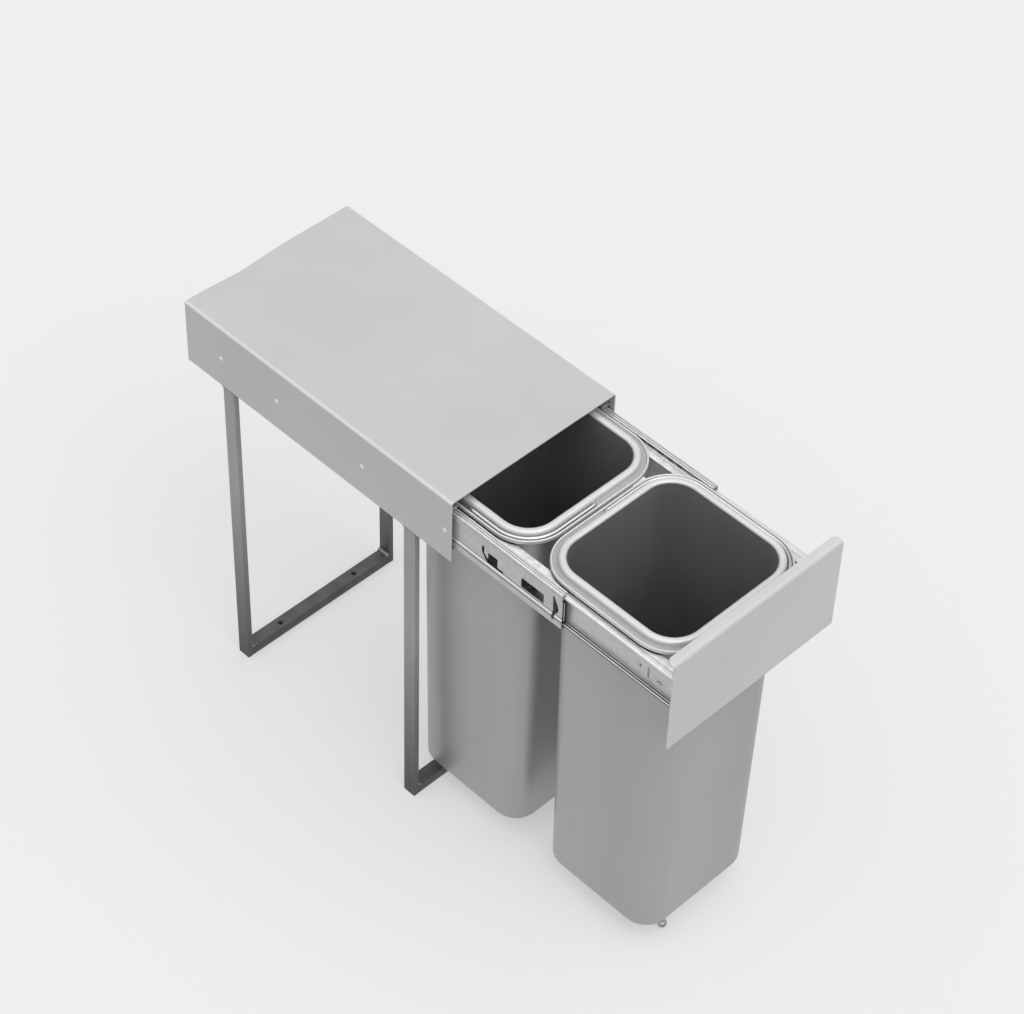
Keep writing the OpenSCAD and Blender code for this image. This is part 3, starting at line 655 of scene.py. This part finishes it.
make_bail("bail_wire_front", "front_bail", "front_bin", 1)
make_bail("bail_wire_rear", "rear_bail", "rear_bin", -1)

# %% [markdown]
# The hood is one sheet, folded down along both sides on a press. Its outer corners are round by
# about the sheet's thickness times two. The rear edge has taken a knock: left of its middle the
# sheet dips by a few millimetres, and the dent runs out some way in from the edge.
# Bent sheet is a strip: its middle line, set off by half the thickness to either side. That outline
# is then carried along the straight of the sheet.

# %% Fold the hood
def strip(line, thickness):
    """Outline of bent sheet: its middle line, set off by half the thickness to either side."""
    aside = left_of(line) * thickness / 2
    return np.vstack([line + aside, (line - aside)[::-1]])


def carried(outline, stations, axis):
    """Rings: the outline repeated at each station along an axis, 0 for X, 1 for Y and 2 for Z."""
    rings = np.empty((len(stations), len(outline), 3))
    across = [k for k in (0, 1, 2) if k != axis]
    rings[..., axis] = np.asarray(stations, float)[:, None]
    rings[..., across[0]] = outline[:, 0]
    rings[..., across[1]] = outline[:, 1]
    return rings


DENT_MIDDLE, DENT_WIDTH, DENT_DEPTH = -38, 34, 3.4
DENT_FROM, DENT_RUN = 96, 98
low, high = span("hood")
sheet = 1.5
side_line, top_line = high[0] - sheet / 2, high[2] - sheet / 2
fold = soften([(-side_line, low[2]), (-side_line, top_line), (side_line, top_line),
               (side_line, low[2])], [0, 2.2, 2.2, 0], closed=False, steps=8)
outline = strip(filled(fold, 7), sheet)
stations = np.concatenate([np.linspace(low[1], 90, 30), np.linspace(90, high[1], 24)[1:]])
rings = carried(outline, stations, 1)
dent = np.exp(-((rings[..., 0] - DENT_MIDDLE) / DENT_WIDTH) ** 2)
dent *= np.clip((rings[..., 1] - DENT_FROM) / DENT_RUN, 0, 1) ** 2
rings[..., 2] -= DENT_DEPTH * dent * (rings[..., 2] > high[2] - 4)
finished(new_mesh("hood_shell", skin(rings, "strip")), hood_paint, "frame", ["hood"],
         edge=0.3)

# %% [markdown]
# The front panel is a flat sheet with a narrow flange bent back along its top. The flange's ends
# are rounded in plan, so the sheet's half width shrinks with the depth behind the front face:
# beyond a certain depth it follows a quarter circle.

# %% Bend the front panel
low, high = span("front_panel")
depth, corner = high[1] - low[1], 7.0
face_line, flange_line = low[1] + sheet / 2, high[2] - sheet / 2
outline = strip(filled(soften([(face_line, low[2]), (face_line, flange_line), (high[1], flange_line)],
                              [0, 3.25, 0], closed=False, steps=10), 1.2), sheet)
into = np.clip(outline[:, 0] - low[1] - (depth - corner), 0, corner)
half_width = high[0] - (corner - np.sqrt(corner ** 2 - into ** 2))
rings = carried(outline, np.linspace(-1, 1, 17), 0)
rings[..., 0] *= half_width
finished(new_mesh("panel_sheet", skin(rings, "strip")), panel_paint, "drawer",
         ["front_panel"], edge=0.3)

# %% [markdown]
# Openings are stamped, punched or drilled right through a piece. The Boolean modifier does that: it
# takes one mesh, which joins all the cutters, away from the piece. The cut mesh is kept, so that
# the bevel that follows also softens the openings' edges.

# %% Cut openings through a piece
def joined(shells):
    """Several closed surfaces as one list of points and faces."""
    points, faces, start = [], [], 0
    for shell_points, shell_faces in shells:
        points.append(shell_points)
        faces += [[start + index for index in face] for face in shell_faces]
        start += len(shell_points)
    return np.vstack(points), faces


def pierce(piece, cutters):
    """Cuts openings right through a piece and keeps the cut mesh."""
    cutter = new_mesh("cutter", joined(cutters))
    for shape in (piece, cutter):
        outwards(shape)
        bpy.context.scene.collection.objects.link(shape)
    cut = piece.modifiers.new("openings", "BOOLEAN")
    cut.operation, cut.solver, cut.object = "DIFFERENCE", "EXACT", cutter
    bpy.context.view_layer.update()
    graph = bpy.context.evaluated_depsgraph_get()
    opened = bpy.data.meshes.new_from_object(piece.evaluated_get(graph))
    piece.modifiers.remove(cut)
    piece.data = opened
    assert len(opened.polygons) > 20, piece.name
    bpy.context.scene.collection.objects.unlink(piece)
    bpy.data.objects.remove(cutter)
    return piece


print("cutting helpers ready")

# %% [markdown]
# The middle rail has three stamped openings behind its front end: a hook, a window and the slot of
# a latch. Each is an outline of how far its corners lie behind the end and above the rail's middle
# height. The cutter is that outline carried through the web, between two distances from the middle
# of the unit.

# %% Outline the stamped openings
STAMP_FROM, STAMP_TO = 90, 112
HOOK = [(10.2, 14), (12.4, 13.4), (12, 3), (11.8, -5), (13, -12), (13, -17), (9.4, -17), (9.2, -10),
        (8.4, -7.4), (5.8, -5.2), (4.8, -0.5), (5, 2), (7.2, 8)]
WINDOW = [(24, -7), (54, -7), (54, 6), (24, 6)]
LATCH = [(103.6, 9.4), (106.9, 9.4), (106.9, 0.5), (101.6, -7.4), (98.4, -9.1), (77.8, -9.1),
         (77.8, -6), (85.6, -5.6), (85.6, 5), (98.4, 5), (98.4, -4.1), (103.6, 1.3)]


def stamp(outline, radius, side, y, z):
    """A cutter through a rail's web: an outline about a place (y, z), carried along X."""
    corners = soften(np.array(outline) + (y, z), radius, steps=4)
    return skin(carried(corners, [side * STAMP_FROM, side * STAMP_TO], 0))


print("corners of the openings:", len(HOOK), len(WINDOW), len(LATCH))

# %% [markdown]
# The slides are nested rolled channels. Each section is drawn as a closed outline of distances
# from the middle of the unit and heights, with a radius at every corner, and is carried along the
# rail. The middle rail's side has the relief of the real one: a fine groove under the top bend, a
# pressed-in web, a ledge above the lower raceway and a second groove. The relief's list gives the
# depth below the face, the distance down from the top and the radius of each of its corners.

# %% Roll the middle rails and stamp their openings
SIDES = ((-1, "left"), (1, "right"))


def channel(node):
    """A slide piece's inner and outer distance from the middle, its front and rear end, its base
    and its top, in millimetres."""
    low, high = span(node)
    inner, outer = sorted([abs(low[0]), abs(high[0])])
    return inner, outer, low[1], high[1], low[2], high[2]


def rolled(name, section, side, ends):
    """A section of distances from the middle and heights, on one side and between two ends."""
    return new_mesh(name, skin(carried(section * (side, 1), ends, 1)))


for side, end in SIDES:
    edge_in, web_out, start, rear, base, top = channel("middle_rail_" + end)
    relief = np.array([
        (0, 4.4, 0.5), (0, 7.8, 0.5), (1.1, 9.3, 0.5), (1.1, 32.2, 0.2), (1.5, 32.9, 0.2),
        (1.5, 33.5, 0.2), (0.2, 35.5, 0.25), (0, 36.4, 0.2), (0.7, 37.2, 0.1), (0, 38.0, 0.2)])
    web = list(zip(web_out - relief[:, 0], top - relief[:, 1]))
    section = soften(
        [(edge_in, top), (edge_in + 1.8, top), (edge_in + 2.3, top - 0.6), (edge_in + 2.8, top),
         (edge_in + 4.4, top), (edge_in + 4.9, top - 0.6), (edge_in + 5.4, top), (web_out, top),
         (web_out, top - 2.9), (web_out - 0.8, top - 3.6)] + web +
        [(web_out, base), (edge_in, base), (edge_in, base + 1.5), (web_out - 1.5, base + 1.5),
         (web_out - 1.5, base + 11.4), (web_out - 1.9, base + 12.6), (web_out - 1.9, top - 5.2),
         (web_out - 1.5, top - 4.2), (web_out - 1.5, top - 1.5), (edge_in + 1.6, top - 1.5),
         (edge_in, top - 0.8)],
        [0.3, 0.2, 0.1, 0.2, 0.2, 0.1, 0.2, 1.7, 0.3, 0.1] + list(relief[:, 2]) +
        [3.8, 0.4, 0.4, 2.2, 0.4, 0.4, 0.4, 0.4, 0.7, 0.5, 0.3], steps=5)
    rail = rolled("slide_middle_" + end, section, side, [start, rear])
    z = (top + base) / 2
    pierce(rail, [stamp(opening, radius, side, start, z)
                  for opening, radius in ((HOOK, 0.5), (WINDOW, 1.2), (LATCH, 0.5))])
    finished(rail, middle_zinc, "middle_" + end, ["middle_rail_" + end], edge=0.25)

# %% [markdown]
# Round holes, countersinks, rivets and the foot are turned shapes: a short profile of radius and
# distance, run round an axis.

# %% Turn a profile round an axis
def turned_piece(profile, centre, axis, around=32):
    """Rings of a turned part: each profile point (radius, distance) runs round the axis."""
    axis = np.array(axis, float)
    first = np.cross(axis, [0, 0, 1] if abs(axis[2]) < 0.9 else [1, 0, 0])
    first /= np.linalg.norm(first)
    second = np.cross(axis, first)
    angle = np.linspace(0, 2 * np.pi, around, endpoint=False)[None, :, None]
    radius, height = profile[:, 0][:, None, None], profile[:, 1][:, None, None]
    return np.array(centre) + axis * height + radius * (first * np.cos(angle) + second * np.sin(angle))


print("points of a turned disc:", turned_piece(np.array([(1, 0), (1, 1)]), (0, 0, 0), (0, 0, 1)).shape[:2])

# %% [markdown]
# The cabinet rails are hidden in the hood but for their front ends. The drawer rails lie inside
# the middle rails, and their flanges end in a small curl that keeps the balls in their race, with a
# rolled rib inside the lower one. They are riveted to the carrier's sides, so both share a round
# hole and two slots near the panel. The hole's edge is swaged up into a small collar.

# %% Roll the cabinet and drawer rails and fold the carrier's sides
for side, end in SIDES:
    edge_in, web_out, front, rear, base, top = channel("cabinet_rail_" + end)
    section = soften(
        [(edge_in, top), (web_out, top), (web_out, base), (edge_in, base), (edge_in, base + 1.5),
         (web_out - 1.5, base + 1.5), (web_out - 1.5, top - 1.5), (edge_in, top - 1.5)],
        [0.5, 2.6, 2.6, 0.5, 0.5, 1.1, 1.1, 0.5], steps=5)
    finished(rolled("slide_cabinet_" + end, section, side, [front, rear]), cabinet_zinc_painted_shade, "frame",
             ["cabinet_rail_" + end], edge=0.25)

    web_in, edge_out, panel_back, rear, base, top = channel("drawer_rail_" + end)
    section = soften(
        [(web_in, top), (edge_out, top), (edge_out, top - 3), (edge_out - 1.2, top - 3),
         (edge_out - 1.2, top - 1.5), (web_in + 1.5, top - 1.5), (web_in + 1.5, base + 1.5),
         (web_in + 2.3, base + 1.5), (web_in + 2.6, base + 3), (web_in + 3.5, base + 3),
         (web_in + 3.9, base + 1.5), (edge_out - 1.2, base + 1.5), (edge_out - 1.2, base + 3.6),
         (edge_out, base + 3.6), (edge_out, base), (web_in, base)],
        [1.1, 1.2, 0.5, 0.4, 0.5, 0.8, 0.2, 0.2, 0.3, 0.3, 0.2, 0.5, 0.4, 0.5, 1.0, 1.1], steps=5)
    z = (top + base) / 2
    holes = [skin(turned_piece(np.array([(2.5, 0), (2.5, 25)]), (side * 88, panel_back + 28, z - 4),
                               (side, 0, 0), 28)),
             stamp([(41, -9), (43.5, -9), (43.5, 5), (41, 5)], 0.9, side, panel_back, z),
             stamp([(51, -3), (53.5, -3), (53.5, 2), (51, 2)], 0.6, side, panel_back, z)]
    rail = rolled("slide_drawer_" + end, section, side, [panel_back, rear])
    finished(pierce(rail, holes), drawer_zinc, "drawer", ["drawer_rail_" + end], edge=0.25)
    swage = np.array([(2.6, -0.4), (2.6, 0.3), (3.0, 0.55), (3.7, 0.55), (4.1, 0.3), (4.2, -0.4),
                      (2.6, -0.4)])
    collar = turned_piece(swage, (side * (web_in + 1.5), panel_back + 28, z - 4), (side, 0, 0))
    finished(new_mesh("hole_collar_" + end, skin(collar, "none")), rail_zinc, "drawer")

    edge_in, web_out, front, rear, base, top = channel("carrier_side_" + end)
    section = soften(
        [(web_out, base), (web_out, top), (edge_in, top), (edge_in, top - 1.5),
         (web_out - 1.5, top - 1.5), (web_out - 1.5, base)], [0.4, 1.6, 0.4, 0.4, 0.6, 0.4], steps=5)
    angle_piece = rolled("carrier_angle_" + end, section, side, [front, rear])
    finished(pierce(angle_piece, holes), spangle, "drawer", ["carrier_side_" + end],
             edge=0.25)

# %% [markdown]
# The leg frames are flat bars. A drawn bar has slightly round long edges, and its bright edge is
# what the photograph shows best. The upright's section is carried up, the floor bar's across. The
# floor bars have screw holes with a small countersink.

# %% Cut the leg frames' bars
def bar(name, node, axis, radius, steps=4):
    """A node's box with the edges along one axis rounded."""
    low, high = span(node)
    across = [k for k in (0, 1, 2) if k != axis]
    a, b = low[across], high[across]
    outline = soften([(a[0], a[1]), (b[0], a[1]), (b[0], b[1]), (a[0], b[1])], radius, steps=steps)
    return new_mesh(name, skin(carried(outline, [low[axis], high[axis]], axis)))


SCREW_SPACING = 110
for row in ("front", "rear"):
    for end in ("left", "right"):
        node = f"upright_{row}_{end}"
        finished(bar("leg_" + node, node, 2, 0.9), leg_coat, "frame", [node], edge=0.4)
    node = "floor_bar_" + row
    low, high = span(node)
    y = (low[1] + high[1]) / 2
    drill = np.array([(2.5, -2), (2.5, high[2] - 1.4), (4.0, high[2] + 0.1), (4.0, high[2] + 2)])
    holes = [skin(turned_piece(drill, (side * SCREW_SPACING / 2, y, 0), (0, 0, 1), 28))
             for side in (-1, 1)]
    finished(pierce(bar("leg_" + node, node, 0, 0.9), holes), leg_coat, "frame", [node],
             edge=0.3)

# %% [markdown]
# Weld beads are laid in small steps, so their skin is a row of ripples. Each bead fills a corner
# with a quarter of an ellipse, whose size swells and shrinks along the seam.

# %% Lay the weld beads
RIPPLE = 1.9


def weld(corner, size, seam):
    """A bead: a quarter ellipse from a corner, whose size swells and shrinks with each ripple."""
    place = np.linspace(seam[0], seam[1], 42)
    swell = 0.84 + 0.16 * np.abs(np.cos(np.pi * (place - seam[0]) / RIPPLE))
    angle = np.linspace(0, np.pi / 2, 9)
    outline = np.vstack([[(0, 0)], np.stack([size[0] * np.cos(angle), size[1] * np.sin(angle)], 1)])
    rings = np.empty((len(place), len(outline), 3))
    rings[..., 1] = place[:, None]
    rings[..., 0] = corner[0] + outline[:, 0] * swell[:, None]
    rings[..., 2] = corner[1] + outline[:, 1] * swell[:, None]
    return skin(rings)


beads = []
inner, outer = (corner[0] for corner in span("upright_rear_right"))
bar_top, hood_edge = span("floor_bar_rear")[1][2], span("hood")[0][2]
for row in ("front", "rear"):
    low, high = span(f"upright_{row}_left")
    seam = (low[1] + 0.1, high[1] - 0.1)
    for side in (-1, 1):
        beads.append(weld((side * inner, bar_top), (-side * 3, 3), seam))
        beads.append(weld((side * outer, hood_edge), (side * 1.5, -3), seam))
finished(new_mesh("weld_beads", joined(beads)), weld_skin, "frame", ["leg_welds"])

# %% [markdown]
# The slides are riveted through the hood's sides. Outside shows a round crown on a thin skirt;
# inside, the shank is pressed flat. The skirts took the hood's paint, and only the crowns are
# bright. The drawer rails' rivets have flat heads. All are turned shapes: a short profile of radius
# and distance run round the rivet's axis.

# %% Set the rivets
crown = np.linspace(0.1, 1, 9) * np.pi / 2
round_head = np.vstack([[(0.05, 1.59)], np.stack([2.9 * np.sin(crown), 0.3 + 1.3 * np.cos(crown)], 1),
                        [(3.7, 0.22), (4, 0.1), (4, 0), (0.05, 0)]])
flat_head = soften([(0.05, 0), (3.4, 0), (3.4, 1), (0.05, 1)], [0, 0.1, 0.5, 0], closed=False, steps=4)
pressed = soften([(0.05, 0), (2.9, 0), (2.9, 0.6), (0.05, 0.6)], [0, 0.1, 0.3, 0], closed=False, steps=4)
grip = 3.0
shank = np.array([(0.05, 0.0), (2.0, 0.0), (2.0, grip), (0.05, grip)])
height = sum(corner[2] for corner in span("hood_rivets_left")) / 2
HOOD_PLACES, CARRIER_PLACES = [-185, -69, 56, 140], [-470.5, -330.5, -242.5, -157.5]
skirt = span("hood")[1][0]
drawer_web = span("drawer_rail_right")[0][0] + sheet


def rivets(side, web, places, head, tail, around):
    """For each place, a head on the web's outer face, a shank through it and a tail inside."""
    shells = []
    for y in places:
        outside, inside = (side * web, y, height), (side * (web - grip), y, height)
        shells.append(skin(turned_piece(head, outside, (side, 0, 0))))
        shells.append(skin(turned_piece(shank, outside, (-side, 0, 0), 20)))
        shells.append(skin(turned_piece(tail, inside, (-side, 0, 0), around)))
    return joined(shells)


for side, end in SIDES:
    hood_row = rivets(side, skirt, HOOD_PLACES, round_head, pressed, 24)
    row = finished(new_mesh("rivet_heads_hood_" + end, hood_row), rivet_steel, "frame",
                   ["hood_rivets_" + end])
    row.data.materials.append(hood_paint)
    middles = np.array([face.center for face in row.data.polygons]) / MM
    from_axis = np.hypot(np.abs(middles[:, 1, None] - HOOD_PLACES).min(1), middles[:, 2] - height)
    painted = (from_axis > 2.85) & (np.abs(middles[:, 0]) > skirt - 0.1)
    row.data.polygons.foreach_set("material_index", painted.astype(np.int32))
    carrier_row = rivets(side, drawer_web, CARRIER_PLACES, flat_head, flat_head * 0.86, 32)
    finished(new_mesh("rivet_heads_carrier_" + end, carrier_row), rivet_steel, "drawer",
             ["carrier_rivets_" + end])

# %% [markdown]
# A ball cage is a thin pressed channel. Its flanges are scalloped between the balls, which is the
# row of teeth that shows along the far rail, and its web has a pressed oval beside each ball,
# which is the dark, lumpy strip behind the middle rail's window.

# %% Press the ball cages
BALL_PITCHES = 10
for side, end in SIDES:
    for node in ("outer_cage_" + end, "inner_cage_" + end):
        edge_in, web_out, front, rear, base, top = channel(node)
        outline = soften([(edge_in, top), (web_out, top), (web_out, base), (edge_in, base),
                          (edge_in, base + 0.9), (web_out - 0.6, base + 0.9),
                          (web_out - 0.6, top - 0.9), (edge_in, top - 0.9)],
                         [0.2, 0.9, 0.9, 0.2, 0.2, 0.4, 0.4, 0.2], steps=3)
        outline = filled(np.vstack([outline, outline[:1]]), 3)[:-1]
        rings = carried(outline, np.linspace(front, rear, 121), 1)
        phase = np.cos(2 * np.pi * BALL_PITCHES * (rings[..., 1] - front) / (rear - front))
        scallop = 2.2 * np.clip(phase, 0, 1) ** 0.5
        near_edge = np.clip((edge_in + 1.2 - rings[..., 0]) / 1.2, 0, 1)
        rings[..., 0] += scallop * near_edge
        up_and_down = np.clip(1 - ((rings[..., 2] - (base + top) / 2) / 9) ** 2, 0, 1)
        oval = 0.3 * up_and_down * np.clip(-phase, 0, 1)
        rings[..., 0] -= oval * (rings[..., 0] > web_out - 0.7)
        rings[..., 0] *= side
        finished(new_mesh("ball_cage_" + node, skin(rings)), cage_steel, node, [node])

# %% [markdown]
# The stops are small black mouldings in the middle rails' front ends. Each has a blunt nose towards
# the panel, and a thin bowed spring along the nose's outer edge. The bumpers at the back are rubber
# blocks with soft edges. Both are outlines carried along the slide's height.

# %% Mould the stops and bumpers, and bend the springs
for side, end in SIDES:
    inner, outer, front, rear, base, top = channel("rail_stop_" + end)
    outer -= 0.45
    nose = front + 0.7
    plan = soften([(outer, nose), (inner, nose), (inner, rear), (outer, rear)],
                  [0.5, 1.6, 0.8, 0.8], steps=8)
    finished(new_mesh("stop_moulding_" + end, skin(carried(plan * (side, 1), [base, top], 2))),
             black_plastic, "middle_" + end, ["rail_stop_" + end], edge=0.4)
    bow = soften([(nose - 0.2, top - 2), (nose - 0.45, top - 12), (nose - 0.45, base + 11),
                  (nose - 0.2, base + 4)], [0, 12, 12, 0], closed=False, steps=6)
    spring = carried(strip(bow, 0.4), [side * (outer - 1.2), side * (outer - 0.4)], 0)
    finished(new_mesh("stop_spring_" + end, skin(spring, "strip")), rail_zinc, "middle_" + end)
    finished(bar("bumper_block_" + end, "rear_bumper_" + end, 2, 1.6, 5), black_rubber, "frame",
             ["rear_bumper_" + end], edge=1.2)

# %% [markdown]
# The foot under the front bin is a turned steel stem with a ball end. A single profile makes it:
# the ball's arc, a small throat, the stem and the flange that meets the bin's floor.

# %% Turn the foot
low, high = span("front_bin_foot")
centre = ((low + high) / 2)[:2]
arc = np.linspace(0.02, math.pi - math.asin(0.6), 20)
ball = np.stack([5 * np.sin(arc), low[2] + 5 - 5 * np.cos(arc)], 1)
stem = soften([ball[-1], (3, high[2] - 3.2), (4, high[2] - 2), (4, high[2]), (0.05, high[2])],
              [0, 1.2, 0.6, 0.3, 0], closed=False, steps=5)[1:]
foot = turned_piece(np.vstack([ball, stem]), (*centre, 0), (0, 0, 1), 40)
finished(new_mesh("foot_turned", skin(foot)), foot_steel, "front_bin", ["front_bin_foot"])

# %% [markdown]
# The rest of the CAD solids have the right shape already: balls, studs, nuts, the foot's screw
# and the cross bars. They keep their meshes and take the finish of what they are made of.

# %% Finish the CAD solids that stay
for names, material in (
        (["inner_balls_left", "inner_balls_right", "outer_balls_left", "outer_balls_right"], ball_steel),
        (["panel_studs", "panel_nuts", "foot_screw"], fastener_steel),
        (["cross_bar_front", "cross_bar_rear"], spangle.material)):
    for name in names:
        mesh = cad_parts[name].data
        mesh.materials.clear()
        mesh.materials.append(material)
        if material is ball_steel:
            mesh.shade_smooth()
print("CAD solids finished")

# %% [markdown]
# The studio is a pale floor that runs out of sight, a soft sky all round, one very wide lamp above
# and a small, weaker one from the front. The wide lamp covers a large part of the sky, so shadows
# are faint and polished tops don't burn out when seen from above. Bends and beads catch the small
# one, which draws them as fine lights. The backdrop's grey is only seen: by the camera everywhere,
# and by reflections above the horizon. The light on the object comes from the sky and the lamps.
# The floor shows half that grey and half its own lit surface, so it stays pale and keeps the
# object's shadow. Reflections see a darker floor, as in a room, which gives upright walls and
# round edges their depth. Each lamp is listed with its strength, the angle it spans in degrees and
# the direction towards it.

# %% Light the studio
BACKDROP, MIRRORED, SKY = 0.855, 0.6, 0.3
reach = 9.0
LAMPS = (("wide_lamp", 1.9, 95, (-0.1, -0.16, 0.98)), ("front_lamp", 0.5, 36, (-0.1, -0.55, 0.83)))
floor_mesh = bpy.data.meshes.new("studio_floor")
floor_mesh.from_pydata([(-reach, -reach, 0), (reach, -reach, 0), (reach, reach, 0), (-reach, reach, 0)],
                       [], [(0, 1, 2, 3)])
floor = bpy.data.objects.new("studio_floor", floor_mesh)
bpy.context.scene.collection.objects.link(floor)
floor_finish = Finish("studio_floor", Roughness=0.9, Specular_IOR_Level=0.1)
floor_finish.feed("Base Color", grey(BACKDROP))
own_grey, dim_grey = [floor_finish.node("ShaderNodeEmission", sockets={"Color": grey(level)})
                      for level in (BACKDROP, MIRRORED)]
plain = floor_finish.node("ShaderNodeMixShader", sockets={
    0: (floor_finish.ray("Camera") + floor_finish.ray("Transmission")) * 0.5,
    1: Tap(floor_finish, floor_finish.shader.outputs[0]), 2: own_grey})
floor_finish.join(floor_finish.nodes["Material Output"].inputs["Surface"], floor_finish.node(
    "ShaderNodeMixShader", sockets={0: floor_finish.ray("Glossy"), 1: plain, 2: dim_grey}))
floor_mesh.materials.append(floor_finish.material)

world = bpy.data.worlds.new("studio")
bpy.context.scene.world = world
sky = Graph(world)
sky.join(sky.nodes["Background"].inputs["Color"], grey(1))
sky.join(sky.nodes["Background"].inputs["Strength"], SKY)
backdrop = sky.node("ShaderNodeBackground", sockets={"Color": grey(BACKDROP)})
sky.join(sky.nodes["World Output"].inputs[0], sky.node("ShaderNodeMixShader", sockets={
    0: sky.ray("Camera") + sky.ray("Glossy") + sky.ray("Transmission"),
    1: Tap(sky, sky.nodes["Background"].outputs[0]), 2: backdrop}))

for name, energy, spread, towards in LAMPS:
    lamp_data = bpy.data.lights.new(name, "SUN")
    lamp_data.energy, lamp_data.angle = energy, math.radians(spread)
    lamp = bpy.data.objects.new(name, lamp_data)
    lamp.rotation_euler = Vector(towards).to_track_quat("Z", "Y").to_euler()
    bpy.context.scene.collection.objects.link(lamp)
print("studio lit")
